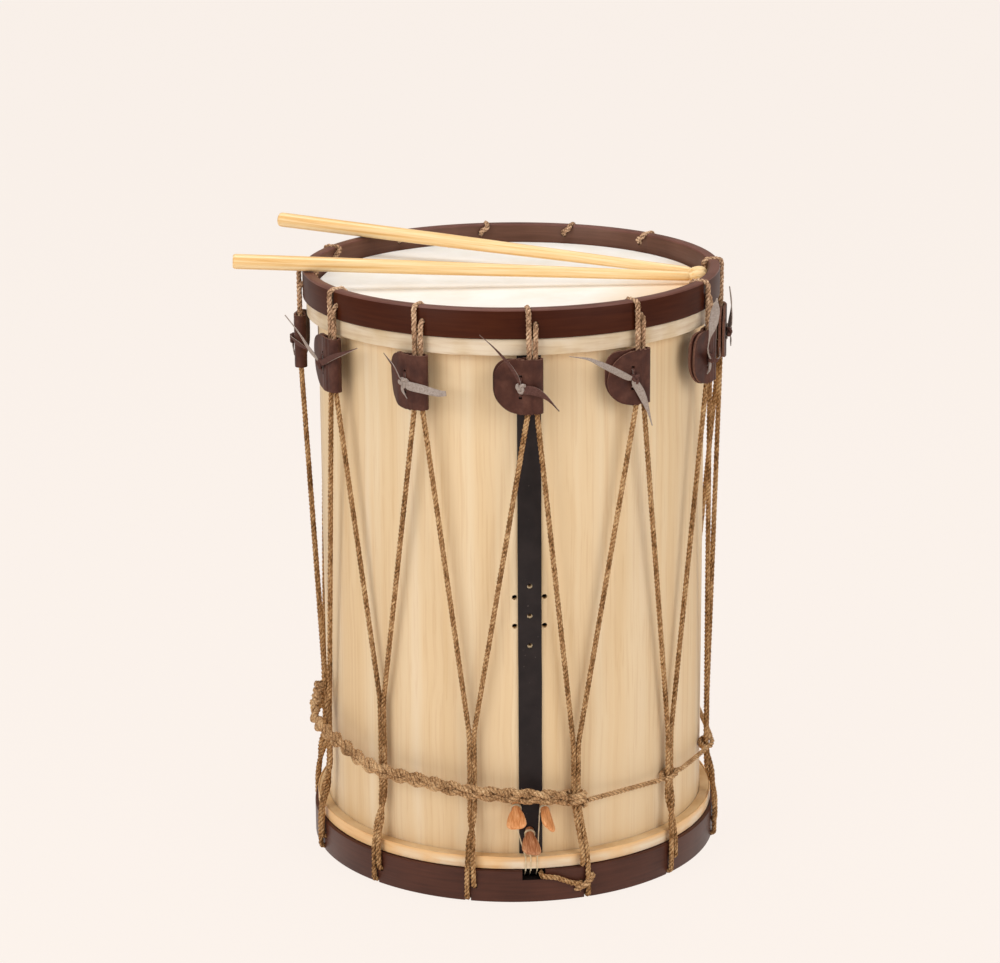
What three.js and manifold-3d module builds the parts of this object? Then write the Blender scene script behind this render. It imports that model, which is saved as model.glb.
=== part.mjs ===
// Rope-tensioned renaissance side drum with snares and a pair of sticks.
// Millimetres, +Z up, the front facing -Y. Everything is drawn round the drum's axis, from the floor up.
// Angles are in degrees, measured round that axis from the front towards +X. At the end the whole drum is
// moved, so that the origin is on the floor in the middle of the box that holds drum and sticks.
import * as THREE from 'three';
import { mergeVertices } from 'three/addons/utils/BufferGeometryUtils.js';
import Module from 'manifold-3d';

const wasm = await Module();
wasm.setup();

// Clearances
const gap = 0.3; // between pieces that touch
const roundSteps = 48; // facets round the drum

// Shell, hoops and heads
const drumHeight = 496.7; // floor to the upper rim
const hoopRadius = 172.5; // outside of both counterhoops
const hoopWall = 8.7;
const rimBevel = 0.8;
const topHoopHeight = 23.8;
const bottomHoopHeight = 27.7;
const shellStep = 12.2; // counterhoop's outside to the shell's outside
const shellWall = 5;
const bearingEdge = 2.3; // width of the shell's bevelled edge
const collar = 8.7; // how far each head stands past its flesh hoop
const skin = 0.8; // thickness of both heads
const lapStep = 2.8; // counterhoop to the skin lapped round the flesh hoop
const topLapHeight = 13.5;
const bottomLapHeight = 10.8;

// Seam strip with its vent holes
const stripAngle = 4.5;
const stripWidth = 19;
const stripThickness = 1.5;
const ventDiameter = 4;
const ventHeight = 243; // middle hole
const ventPitch = 25;
const ventSpread = 12; // strip's middle to each side row
const sideVentHeights = [258.5, 234.3];

// Rope
const ropeDiameter = 5;
const topAnchors = [5, 35, 65, 95, 136, 162.3, 188, 215, 245, 275, 305, 335];
const lowerPairs = [ // angle on the hoop, and the angle and height where the pair's strands meet
  { angle: 19, meets: 17.2, height: 135 }, { angle: 48.8, meets: 50, height: 126 },
  { angle: 79, meets: 78, height: 130 }, { angle: 114, meets: 114, height: 134 },
  { angle: 149, meets: 149, height: 140 }, { angle: 175, meets: 175, height: 136 },
  { angle: 201.5, meets: 201.5, height: 140 }, { angle: 230, meets: 230, height: 134 },
  { angle: 259, meets: 259, height: 138 }, { angle: 290.5, meets: 291.5, height: 130 },
  { angle: 319, meets: 319.7, height: 163 }, { angle: 347.8, meets: 348, height: 147 },
];
const pairStep = 7.2; // shell to the middle of a pair that the belt draws in
const drawnLow = 85; // below this a pair leans out to the hoop again
const crossing = { high: 80, low: 42, reach: 2.9, steps: 4 }; // where a pair's strands change sides
const strandPitch = 5.6; // between the two strands of a pair
const rimGroove = 3.3; // depth of the grooves in the upper rim
const topHoleHeight = 10.7; // hoop's lower edge to its rope holes
const floorRelief = 0.4; // rope above the floor in the lower grooves
const bottomHoleHeight = 14;
const ropeSides = 6;

// Leather tugs and their laces
const tugWidth = 38;
const tugHeight = 43.5;
const tugDrop = 1.4; // lapped skin to the tug's upper edge
const tugLeather = 2.2;
const tugSpread = 7.5; // between the strands at the tug's lower edge
const tugCorner = 5;
const tugRound = 0.4; // share of the height that each free corner takes
const foldRound = { inside: 0.6, side: 0.75, bulge: 0.66 }; // shares of the pocket and the leather
const flapSlot = 0.4;
const tugBends = [6, 22, 10, 12, 15, 8, 17, 10, 13, 20, 4, 30]; // each tug's flaps turned towards the shell
const laceWidth = 2.6;
const laceThickness = 1;
const laceSpan = 17.4; // between a tug's two slits
const laceMargin = 1.5; // rope pocket to the lace
const tailLength = 38;
const tailWidth = 4;
const tailBow = 5;
const knotShape = [0.85, 0.85, 1.1]; // shares of the lace's width
const tailAngles = [[129, -29], [159, -67], [108, -78], [146, -38], [135, 11], [133, -14]];

// Snares
const gutDiameter = 1.2;
const pegDiameter = 7;
const pegDroop = 20;
const pegInside = 12; // shank past the shell's outside, inwards
const pegHeadStart = 11.5; // shell to the head
const pegHeadLength = 18.5;
const pegHeadWidth = 16.5;
const pegHeadThickness = 5.5;
const pegHeadEdge = 0.6; // bevel round the head
const pegShoulder = 0.55; // share of the head's length
const pegTaper = 0.85; // inner end of the shank, as a share
const windTurns = 3;
const windSteps = 12; // straight runs in a turn
const windPitch = 1.75;
const windStart = 4.2; // shell to the first turn
const gateWidth = 19; // notch that lets the snares in under the lower head
const gateDepth = 8;
const gateAngle = 5;
const gutKnot = 3.6;
const rearGutDrop = 3.2; // snares dip this much to their rear holes
const pegs = [
  { side: 'left', angle: 0.3, height: 81.8, turn: 6, gutAt: -5 },
  { side: 'right', angle: 8.4, height: 80.5, turn: -48, gutAt: 4.5 },
  { side: 'lower', angle: 4.1, height: 59.2, turn: -14, gutAt: -0.8 },
];

// Rope that goes round the lower end, and its plaited drag
const beltDiameter = 4;
const dragDiameter = 13;
const beltRoute = [[24, 87], [50, 86], [78, 86], [114, 90], [149, 93], [175, 95], [201.5, 97], [230, 99],
  [259, 100]];
const dragRoute = [ // angle, height and how much nearer the shell
  [20, 88.5, 0], [4, 94, 0], [-12, 98, 0], [-26, 102, 0], [-40, 104, 0], [-52, 111.5, 0], [-61, 116, 0],
  [-69, 119, 0], [-74, 124, 1.5], [-75.5, 133, 4.5], [-75, 145, 5.5],
];
const dragSag = 1.5; // how much nearer the drag lies between pairs
const dragRuns = 26;
const cordSides = 8;

// Sticks
const stickButt = 12.4;
const stickNeck = 7.6;
const acornDiameter = 11.4;
const acornLength = 14;
const acornShape = [[0.62, 0.07], [0.93, 0.25], [1, 0.48], [0.86, 0.75]]; // shares of radius and length
const acornRest = 0.48; // where the tip lies on the head, as a share of its length
const neckGroove = 0.8; // share of the neck behind the acorn
const shaftSwell = { radius: 0.93, at: 0.6 }; // shares of the butt and of the length
const buttRound = 0.8; // share of the butt at its very end
const sticks = [
  { place: 'front', length: 389, tipAngle: 84.3, tipInset: 1.9, heading: -87.6 },
  { place: 'rear', length: 389, tipAngle: 88.6, tipInset: 2, heading: -111.3 },
];

// Sizes that follow
const topEdge = drumHeight - topHoopHeight; // upper counterhoop's lower edge
const headTop = topEdge + collar;
const headBottom = bottomHoopHeight - collar;
const hoopInside = hoopRadius - hoopWall;
const shellRadius = hoopRadius - shellStep;
const lapRadius = hoopRadius - lapStep;
const strandRadius = hoopRadius + gap + ropeDiameter / 2;
const pairRadius = shellRadius + pairStep;
const innerRun = hoopInside - gap - ropeDiameter / 2;
const tugTop = topEdge - topLapHeight - tugDrop;
const tugBottom = tugTop - tugHeight;
const slot = ropeDiameter + 2 * gap;
const ropeBend = slot - Math.SQRT2 * (ropeDiameter / 2 + gap / 3); // clears the hoops' corners

const looks = {
  hoop: { color: 0x52322a, roughness: 0.5, metalness: 0 },
  shell: { color: 0xe3c79d, roughness: 0.55, metalness: 0 },
  skin: { color: 0xf6efdf, roughness: 0.6, metalness: 0 },
  flesh: { color: 0xdcb98c, roughness: 0.6, metalness: 0 },
  strip: { color: 0x231c1c, roughness: 0.65, metalness: 0 },
  rope: { color: 0x96734f, roughness: 0.95, metalness: 0 },
  leather: { color: 0x55322d, roughness: 0.6, metalness: 0 },
  lace: { color: 0x6a5a54, roughness: 0.7, metalness: 0 },
  peg: { color: 0xd98d55, roughness: 0.5, metalness: 0 },
  gut: { color: 0xe6dcc6, roughness: 0.5, metalness: 0 },
  stick: { color: 0xf2cf95, roughness: 0.45, metalness: 0 },
};

const drum = new THREE.Group();

const radians = THREE.MathUtils.degToRad;

// A point at an angle round the drum
function around(angle, radius, z) {
  const a = radians(angle);
  return new THREE.Vector3(radius * Math.sin(a), -radius * Math.cos(a), z);
}

// A point in a station's frame: x to the right, seen from outside, and radius outwards
function station(angle, x, radius, z) {
  return new THREE.Vector3(x, -radius, z).applyAxisAngle(new THREE.Vector3(0, 0, 1), radians(angle));
}

// Closed triangles with shared corners, facing out
function closed(geometry) {
  const bare = geometry.index ? geometry.toNonIndexed() : geometry.clone();
  bare.deleteAttribute('normal');
  bare.deleteAttribute('uv');
  const merged = mergeVertices(bare, 1e-4);
  const at = merged.attributes.position;
  const kept = [];
  let volume = 0;
  const a = new THREE.Vector3();
  const b = new THREE.Vector3();
  const c = new THREE.Vector3();
  for (let i = 0; i < merged.index.count; i += 3) {
    const corners = [0, 1, 2].map((j) => merged.index.getX(i + j));
    if (new Set(corners).size === 3) {
      kept.push(corners);
      a.fromBufferAttribute(at, corners[0]);
      b.fromBufferAttribute(at, corners[1]);
      c.fromBufferAttribute(at, corners[2]);
      volume += a.dot(b.cross(c));
    }
  }
  const ordered = volume < 0 ? kept.map((t) => [t[0], t[2], t[1]]) : kept;
  merged.setIndex(ordered.flat());
  return merged;
}

function solid(geometry) {
  const shape = closed(geometry);
  return new wasm.Manifold(new wasm.Mesh({
    numProp: 3,
    vertProperties: new Float32Array(shape.attributes.position.array),
    triVerts: new Uint32Array(shape.index.array),
  }));
}

function geometryOf(body) {
  const mesh = body.getMesh();
  const geometry = new THREE.BufferGeometry();
  geometry.setAttribute('position', new THREE.BufferAttribute(new Float32Array(mesh.vertProperties), 3));
  geometry.setIndex(Array.from(mesh.triVerts));
  return geometry;
}

const cut = (base, cutters) => cutters.reduce((body, cutter) => body.subtract(solid(cutter)), base);
const join = (pieces) => pieces.map(solid).reduce((body, piece) => body.add(piece));

function add(name, geometry, look) {
  const shape = closed(geometry);
  shape.computeVertexNormals();
  const mesh = new THREE.Mesh(shape, new THREE.MeshStandardMaterial(look));
  mesh.name = name;
  drum.add(mesh);
  return mesh;
}

// A profile of radius and height turned round the drum's axis
function turned(profile, steps = roundSteps) {
  const points = profile.map(([r, z]) => new THREE.Vector2(r, z));
  const onAxis = profile[0][0] === 0;
  const loop = onAxis ? points : [...points, points[0]];
  return new THREE.LatheGeometry(loop, steps).rotateX(Math.PI / 2);
}

function outline(points) {
  return new THREE.Shape(points.map(([x, y]) => new THREE.Vector2(x, y)));
}

// An upright outline in x and z, drawn outwards from one radius to another at the front
function outwards(shape, fromRadius, toRadius) {
  const block = new THREE.ExtrudeGeometry(shape, {
    depth: toRadius - fromRadius, bevelEnabled: false, curveSegments: 3,
  });
  return block.rotateX(Math.PI / 2).translate(0, -fromRadius, 0);
}

// A route whose rings stand at the listed points
class Route extends THREE.Curve {
  constructor(points) {
    super();
    this.points = points;
  }

  getPoint(t, target = new THREE.Vector3()) {
    const last = this.points.length - 1;
    const at = Math.min(Math.max(t, 0), 1) * last;
    const i = Math.min(Math.floor(at), last - 1);
    return target.lerpVectors(this.points[i], this.points[i + 1], at - i);
  }

  getPointAt(t, target) {
    return this.getPoint(t, target);
  }

  getTangentAt(t, target = new THREE.Vector3()) {
    const last = this.points.length - 1;
    const i = Math.round(t * last);
    const before = this.points[Math.max(i, 1)].clone().sub(this.points[Math.max(i, 1) - 1]).normalize();
    const j = Math.min(i, last - 1);
    const after = this.points[j + 1].clone().sub(this.points[j]).normalize();
    return target.copy(before).add(after).normalize();
  }
}

function tube(points, diameter, sides) {
  const section = outline(Array.from({ length: sides }, (_, i) => {
    const turn = (2 * Math.PI * i) / sides;
    return [Math.cos(turn) * diameter / 2, Math.sin(turn) * diameter / 2];
  }));
  const settings = { steps: points.length - 1, extrudePath: new Route(points), bevelEnabled: false };
  return new THREE.ExtrudeGeometry(section, settings);
}

// A round hole through a wall at a station
function radialHole(angle, x, z, diameter, fromRadius, toRadius, sides = 6) {
  const corner = diameter / 2 / Math.cos(Math.PI / sides);
  const drill = new THREE.CylinderGeometry(corner, corner, toRadius - fromRadius, sides);
  drill.translate(x, -(fromRadius + toRadius) / 2, z);
  return drill.rotateZ(radians(angle));
}

// Peg's own frame: along its axis outwards, and up across it
const pegAxis = new THREE.Vector3(0, -Math.cos(radians(pegDroop)), -Math.sin(radians(pegDroop)));
const pegUp = new THREE.Vector3(0, -Math.sin(radians(pegDroop)), Math.cos(radians(pegDroop)));

// The drill for a peg through the shell, wider than its shank by a clearance
function pegHole(peg) {
  const reach = pegInside + pegHeadStart;
  const drill = new THREE.CylinderGeometry(pegDiameter / 2 + gap, pegDiameter / 2 + gap, reach * 2, 8);
  drill.rotateX(radians(pegDroop));
  drill.translate(0, -shellRadius, peg.height);
  return drill.rotateZ(radians(peg.angle));
}

const stripVents = [-1, 0, 1].map((row) => ({ x: 0, z: ventHeight + row * ventPitch }));
const sideVents = sideVentHeights.flatMap((z) => [{ x: -ventSpread, z }, { x: ventSpread, z }]);

function ventHole(vent, margin) {
  return radialHole(stripAngle, vent.x, vent.z, ventDiameter + margin, shellRadius - 3 * shellWall,
    shellRadius + 3 * shellWall);
}

function makeShell() {
  const low = headBottom + skin + gap;
  const high = headTop - skin - gap;
  const inside = shellRadius - shellWall;
  const bevelled = shellRadius - bearingEdge;
  const body = solid(turned([
    [inside, low], [bevelled, low], [shellRadius, low + bearingEdge + gap],
    [shellRadius, high - bearingEdge - gap], [bevelled, high], [inside, high],
  ]));
  const vents = [...stripVents, ...sideVents].map((vent) => ventHole(vent, 0));
  add('shell', geometryOf(cut(body, [...vents, ...pegs.map(pegHole)])), looks.shell);
}

function makeStrip() {
  const near = shellRadius + gap;
  const far = near + stripThickness;
  const half = stripWidth / 2 / shellRadius;
  const low = bottomHoopHeight + bottomLapHeight + gap;
  const high = topEdge - topLapHeight - gap;
  const section = new THREE.Shape();
  section.absarc(0, 0, far, -Math.PI / 2 - half, -Math.PI / 2 + half, false);
  section.absarc(0, 0, near, -Math.PI / 2 + half, -Math.PI / 2 - half, true);
  const body = new THREE.ExtrudeGeometry(section, {
    depth: high - low, bevelEnabled: false, curveSegments: 3,
  });
  body.translate(0, 0, low).rotateZ(radians(stripAngle));
  const holes = [...stripVents.map((vent) => ventHole(vent, gap)), ...pegs.map(pegHole)];
  add('seam_strip', geometryOf(cut(solid(body), holes)), looks.strip);
}

// A skin drawn over the shell's edge and lapped round its flesh hoop, with the hoop inside the lap.
// Heights go up from the counterhoop's edge on the upper head and down on the lower one.
function makeHead(name, edge, up, lapHeight) {
  const at = (h) => edge + up * h;
  const side = shellRadius + gap;
  const bend = bearingEdge + gap + skin;
  const turn = shellRadius - bearingEdge;
  add(`${name}_skin`, turned([
    [0, at(collar)], [turn, at(collar)], [side + skin, at(collar - bend)], [side + skin, at(-gap)],
    [lapRadius, at(-gap)], [lapRadius, at(-lapHeight)], [lapRadius - skin, at(-lapHeight)],
    [lapRadius - skin, at(-gap - skin)], [side, at(-gap - skin)], [side, at(collar - bend)],
    [turn, at(collar - skin)], [0, at(collar - skin)],
  ]), looks.skin);
  const outside = lapRadius - skin - gap;
  add(name === 'batter' ? 'top_flesh_hoop' : 'bottom_flesh_hoop', turned([
    [side, at(-lapHeight)], [outside, at(-lapHeight)], [outside, at(-2 * gap - skin)],
    [side, at(-2 * gap - skin)],
  ]), looks.flesh);
}

// The slot that a rope runs through over an edge, its bottom half an octagon
function ropeGroove(x, bottom, open) {
  const half = slot / 2;
  const flat = half * Math.tan(Math.PI / 8);
  const side = bottom + Math.sign(open - bottom) * (half - flat);
  const shape = outline([
    [x - half, open], [x - half, side], [x - flat, bottom], [x + flat, bottom], [x + half, side],
    [x + half, open],
  ]);
  return outwards(shape, hoopInside - hoopWall, hoopRadius + hoopWall);
}

// Side of the lower groove at each pair: the first pair, where the rope starts, has it on the right
const grooveSide = (pair) => (pair === lowerPairs[0] ? 1 : -1);

const topGrooveBottom = drumHeight - rimGroove;
const topHoleZ = topEdge + topHoleHeight;
const lowRopeZ = floorRelief + ropeDiameter / 2;
const bottomGrooveTop = lowRopeZ + slot / 2;

function makeTopCounterhoop() {
  const body = solid(turned([
    [hoopInside, topEdge], [hoopRadius, topEdge], [hoopRadius, drumHeight - rimBevel],
    [hoopRadius - rimBevel, drumHeight], [hoopInside + rimBevel, drumHeight],
    [hoopInside, drumHeight - rimBevel],
  ]));
  const cutters = topAnchors.flatMap((angle) => [
    ropeGroove(-strandPitch / 2, topGrooveBottom, drumHeight + hoopWall).rotateZ(radians(angle)),
    radialHole(angle, strandPitch / 2, topHoleZ, slot, hoopInside - hoopWall, hoopRadius + hoopWall),
  ]);
  add('top_counterhoop', geometryOf(cut(body, cutters)), looks.hoop);
}

function makeBottomCounterhoop() {
  const body = solid(turned([
    [hoopInside, 0], [hoopRadius - rimBevel, 0], [hoopRadius, rimBevel],
    [hoopRadius, bottomHoopHeight], [hoopInside, bottomHoopHeight],
  ]));
  const cutters = lowerPairs.flatMap((pair) => {
    const x = (grooveSide(pair) * strandPitch) / 2;
    return [
      ropeGroove(x, bottomGrooveTop, -hoopWall).rotateZ(radians(pair.angle)),
      radialHole(pair.angle, -x, bottomHoleHeight, slot, hoopInside - hoopWall, hoopRadius + hoopWall),
    ];
  });
  const gate = new THREE.BoxGeometry(gateWidth, 3 * hoopWall, 2 * gateDepth);
  gate.translate(0, -(hoopInside + hoopWall / 2), bottomHoopHeight).rotateZ(radians(gateAngle));
  const rearHoles = pegs.map((peg) => radialHole(stripAngle + 180, -peg.gutAt, gutRearZ,
    gutDiameter + 2 * gap, hoopInside - hoopWall, hoopRadius + hoopWall, 5));
  add('bottom_counterhoop', geometryOf(cut(body, [...cutters, gate, ...rearHoles])), looks.hoop);
}

// The rope's bend from the outside over the rim, down inside and out of the hole
function topBend(angle) {
  const left = -strandPitch / 2;
  const right = strandPitch / 2;
  const over = topGrooveBottom + slot / 2;
  return [
    [left, strandRadius, over - ropeBend], [left, strandRadius - ropeBend, over],
    [left, innerRun + ropeBend, over], [left, innerRun, over - ropeBend],
    [right, innerRun, topHoleZ + ropeBend], [right, innerRun + ropeBend, topHoleZ],
    [right, strandRadius - ropeBend, topHoleZ], [right, strandRadius, topHoleZ - ropeBend],
  ].map(([x, radius, z]) => station(angle, x, radius, z));
}

// The rope's bend in at the hole, down inside and out under the lower edge
function bottomBend(pair) {
  const out = (grooveSide(pair) * strandPitch) / 2;
  return [
    [-out, strandRadius - ropeBend, bottomHoleHeight], [-out, innerRun + ropeBend, bottomHoleHeight],
    [-out, innerRun, bottomHoleHeight - ropeBend], [out, innerRun, lowRopeZ + ropeBend],
    [out, innerRun + ropeBend, lowRopeZ], [out, strandRadius - ropeBend, lowRopeZ],
    [out, strandRadius, lowRopeZ + ropeBend],
  ].map(([x, radius, z]) => station(pair.angle, x, radius, z));
}

// One strand of a pair, from where the two meet down to the hoop's edge. Drawn in by the belt, it leans out
// to the hoop below it, and on the way the two strands change sides
function pairStrand(pair, side) {
  const { mapLinear, clamp } = THREE.MathUtils;
  const half = strandPitch / 2;
  const edge = bottomHoopHeight + gap;
  const crosses = grooveSide(pair) < 0;
  const at = (x, out, z) => {
    const lean = clamp(mapLinear(z, drawnLow, edge, pairRadius, strandRadius), pairRadius, strandRadius);
    const angle = mapLinear(clamp(z, crossing.low, drawnLow), drawnLow, crossing.low, pair.meets, pair.angle);
    return station(angle, x, lean + out, z);
  };
  const points = [at(side * half, 0, pair.height), at(side * half, 0, drawnLow)];
  for (let i = 0; crosses && i <= crossing.steps; i += 1) {
    const turn = (Math.PI * i) / crossing.steps;
    const z = mapLinear(i, 0, crossing.steps, crossing.high, crossing.low);
    points.push(at(side * crossing.reach * Math.cos(turn), side * crossing.reach * Math.sin(turn), z));
  }
  return [...points, at(crosses ? -side * half : side * half, 0, edge)];
}

function makeTensionRope() {
  const gateRopeZ = bottomHoopHeight - gateDepth / 2;
  const gateRope = gateAngle + THREE.MathUtils.radToDeg((gateWidth - slot - gap) / 2 / hoopRadius);
  const half = strandPitch / 2;
  const first = lowerPairs[0].angle;
  const route = [
    around(gateRope, hoopInside + gap + ropeDiameter / 2, gateRopeZ),
    around(gateRope, strandRadius + gap, gateRopeZ),
    around((2 * gateRope + first) / 3, strandRadius + gap, gateRopeZ - gateDepth / 4),
    around((gateRope + 2 * first) / 3, strandRadius + gap, bottomHoleHeight + gateDepth / 4),
    station(first, -half - ropeBend, strandRadius + gap, bottomHoleHeight),
  ];
  lowerPairs.forEach((pair, k) => {
    const high = topAnchors[(k + 1) % topAnchors.length];
    const next = lowerPairs[(k + 1) % lowerPairs.length];
    route.push(
      ...bottomBend(pair),
      ...pairStrand(pair, 1).reverse(),
      station(high, -tugSpread / 2, strandRadius, tugBottom),
      ...topBend(high),
      station(high, tugSpread / 2, strandRadius, tugBottom),
      ...pairStrand(next, -1),
    );
    if (next === lowerPairs[0]) {
      route.pop();
      route.push(station(next.angle, -half, strandRadius, bottomHoopHeight + ropeDiameter));
    } else {
      route.push(station(next.angle, half, strandRadius, bottomHoleHeight + ropeBend));
    }
  });
  add('tension_rope', tube(route, ropeDiameter, ropeSides), looks.rope);
}

// A tug's pocket closes here; past the lace its flaps turn towards the shell
const pocketHalf = tugSpread / 2 + slot / 2;
const closes = pocketHalf + laceMargin;
const flapTurn = closes + laceWidth + 4 * gap;

function bentPoint(x, y, bend) {
  const point = new THREE.Vector2(x + flapTurn, y).rotateAround(new THREE.Vector2(), -radians(bend));
  return [point.x - flapTurn, point.y];
}

const flapOutside = flapSlot / 2 + tugLeather;
const flapEnd = pocketHalf + tugLeather - tugWidth;

// A leather strap folded round a pair of strands, its two ends lying together on the left
function tugSection(bend) {
  const pocket = pocketHalf;
  const deep = slot / 2;
  const leather = tugLeather;
  const shut = flapSlot / 2;
  const bulge = deep + leather;
  const flat = flapOutside;
  const corner = deep * foldRound.inside;
  const side = pocket + leather * foldRound.side;
  const swell = bulge * foldRound.bulge;
  return outline([
    bentPoint(flapEnd, flat, bend), [-flapTurn, flat], [-closes, flat], [-pocket, bulge],
    [pocket - corner, bulge], [side, swell], [pocket + leather, 0], [side, -swell],
    [pocket - corner, -bulge], [-pocket, -bulge], [-closes, -flat], [-flapTurn, -flat],
    bentPoint(flapEnd, -flat, bend), bentPoint(flapEnd, -shut, bend), [-flapTurn, -shut], [-closes, -shut],
    [-pocket, -deep], [pocket - corner, -deep], [pocket, -corner], [pocket, corner],
    [pocket - corner, deep], [-pocket, deep], [-closes, shut], [-flapTurn, shut],
    bentPoint(flapEnd, shut, bend),
  ]);
}

const laceX = -(closes + laceWidth / 2 + gap);
const laceZ = tugBottom + tugHeight / 2;

function makeTug(name, angle, bend) {
  const upright = new THREE.ExtrudeGeometry(tugSection(bend), { depth: tugHeight, bevelEnabled: false });
  upright.translate(0, -strandRadius, tugBottom);
  const right = pocketHalf + tugLeather + gap;
  const left = bentPoint(flapEnd, -flapOutside, bend)[0];
  const round = tugHeight * tugRound;
  const side = new THREE.Shape();
  side.moveTo(right, tugBottom);
  side.lineTo(right, tugTop);
  side.lineTo(left + round, tugTop);
  side.quadraticCurveTo(left, tugTop - tugCorner / 2, left, tugTop - round);
  side.lineTo(left, tugBottom + round);
  side.quadraticCurveTo(left, tugBottom, left + round, tugBottom);
  const trim = outwards(side, strandRadius - 3 * slot, strandRadius + 2 * slot);
  const slits = [-1, 1].map((end) => {
    const slit = new THREE.BoxGeometry(laceWidth + 2 * gap, 4 * slot, laceThickness + 2 * gap);
    return slit.translate(laceX, -strandRadius, laceZ + (end * laceSpan) / 2);
  });
  const body = cut(solid(upright).intersect(solid(trim)), slits);
  add(name, geometryOf(body).rotateZ(radians(angle)), looks.leather);
}

// One pointed lace end, bowed away from the drum, leaving the knot at an angle from the right
function laceTail(tilt, start) {
  const strip = new THREE.Shape();
  const low = -laceThickness / 2;
  strip.moveTo(0, low);
  strip.quadraticCurveTo(tailLength / 2, low - 2 * tailBow, tailLength, low - tailBow / 2);
  strip.lineTo(tailLength, low - tailBow / 2 + laceThickness);
  strip.quadraticCurveTo(tailLength / 2, low - 2 * tailBow + laceThickness, 0, low + laceThickness);
  const tail = new THREE.ExtrudeGeometry(strip, { depth: tailWidth, bevelEnabled: false, curveSegments: 3 });
  tail.translate(0, 0, -tailWidth / 2);
  return tail.rotateY(radians(-tilt)).translate(...start);
}

function makeLace(name, angle, tilts) {
  const outer = flapOutside + gap + laceThickness;
  const inner = flapOutside + gap;
  const tall = laceSpan / 2 + laceThickness / 2;
  const short = tall - laceThickness;
  const band = outline([[-outer, -tall], [outer, -tall], [outer, tall], [-outer, tall]]);
  band.holes.push(outline([[-inner, -short], [-inner, short], [inner, short], [inner, -short]]));
  const loop = new THREE.ExtrudeGeometry(band, { depth: laceWidth, bevelEnabled: false });
  loop.rotateX(Math.PI / 2).rotateZ(Math.PI / 2).translate(-laceWidth / 2, 0, 0);
  loop.translate(laceX, -strandRadius, laceZ);
  const knotDepth = outer + laceThickness;
  const knot = new THREE.SphereGeometry(laceWidth, 5, 3).scale(...knotShape);
  knot.translate(laceX, -strandRadius - knotDepth, laceZ);
  const start = [laceX, -strandRadius - knotDepth, laceZ];
  const body = join([loop, knot, ...tilts.map((tilt) => laceTail(tilt, start))]);
  add(name, geometryOf(body).rotateZ(radians(angle)), looks.lace);
}

// A peg with a flat flared head, turned about its axis as the player left it
function makePeg(peg) {
  const radius = pegDiameter / 2;
  const shankLength = pegInside + pegHeadStart + radius;
  const shank = new THREE.CylinderGeometry(radius, radius * pegTaper, shankLength, 8);
  shank.translate(0, (pegHeadStart + radius - pegInside) / 2, 0);
  const half = pegHeadWidth / 2;
  const shoulder = pegHeadStart + pegHeadLength * pegShoulder;
  const end = pegHeadStart + pegHeadLength;
  const face = new THREE.Shape();
  face.moveTo(-radius, pegHeadStart);
  face.quadraticCurveTo(-half, pegHeadStart + radius, -half, shoulder + radius);
  face.quadraticCurveTo(0, 2 * end - shoulder - radius, half, shoulder + radius);
  face.quadraticCurveTo(half, pegHeadStart + radius, radius, pegHeadStart);
  const head = new THREE.ExtrudeGeometry(face, {
    depth: pegHeadThickness - 2 * pegHeadEdge, bevelEnabled: true, bevelThickness: pegHeadEdge,
    bevelSize: pegHeadEdge, bevelOffset: -pegHeadEdge, bevelSegments: 1, curveSegments: 4,
  });
  head.translate(0, 0, pegHeadEdge - pegHeadThickness / 2);
  const body = geometryOf(join([shank, head])).rotateY(radians(peg.turn));
  body.rotateX(Math.PI + radians(pegDroop)).translate(0, -shellRadius, peg.height);
  add(`snare_peg_${peg.side}`, body.rotateZ(radians(peg.angle)), looks.peg);
}

const gutSkinZ = headBottom - gap - gutDiameter / 2;
const gutRearZ = gutSkinZ - rearGutDrop;

// A snare: wound on its peg, down into the gate, under the lower head and out at a rear hole
function makeGut(peg) {
  const windRadius = pegDiameter / 2 + gap + gutDiameter / 2;
  const wound = [];
  for (let i = 0; i <= windTurns * windSteps; i += 1) {
    const turn = Math.PI + (2 * Math.PI * i) / windSteps;
    const along = windStart + windPitch * (windTurns - i / windSteps);
    const point = new THREE.Vector3(Math.cos(turn) * windRadius, -shellRadius, peg.height);
    point.addScaledVector(pegUp, Math.sin(turn) * windRadius).addScaledVector(pegAxis, along);
    wound.push(point.applyAxisAngle(new THREE.Vector3(0, 0, 1), radians(peg.angle)));
  }
  const lapOutside = lapRadius + gap + gutDiameter / 2;
  const lapTop = bottomHoopHeight + bottomLapHeight;
  const under = bottomHoopHeight - gutDiameter;
  const bend = bearingEdge + gap + skin;
  const collarOutside = shellRadius + gap + skin + gutDiameter;
  const inside = shellRadius - bearingEdge - gutDiameter / 2;
  const lead = [
    [lapOutside, lapTop], [lapOutside, bottomHoopHeight + gutDiameter], [lapOutside - gutDiameter, under],
    [hoopInside, under - gutDiameter], [collarOutside, headBottom + bend - gutDiameter / 2],
    [inside, gutSkinZ], [-inside, gutSkinZ], [-hoopInside, gutRearZ], [-hoopRadius - gutKnot / 2, gutRearZ],
  ].map(([radius, z]) => station(stripAngle, peg.gutAt, radius, z));
  const knot = new THREE.SphereGeometry(gutKnot / 2, 6, 4);
  knot.translate(...station(stripAngle, peg.gutAt, -hoopRadius - gap - gutKnot / 2, gutRearZ).toArray());
  const line = tube([...wound, ...lead], gutDiameter, 5);
  add(`snare_gut_${peg.side}`, geometryOf(join([line, knot])), looks.gut);
  return leastGap(wound, windSteps / 2) - gutDiameter;
}

// Least distance between points of one winding that lie more than some steps apart
function leastGap(points, apart) {
  let least = Infinity;
  points.forEach((p, i) => {
    points.slice(i + apart).forEach((q) => {
      least = Math.min(least, p.distanceTo(q));
    });
  });
  return least;
}

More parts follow.
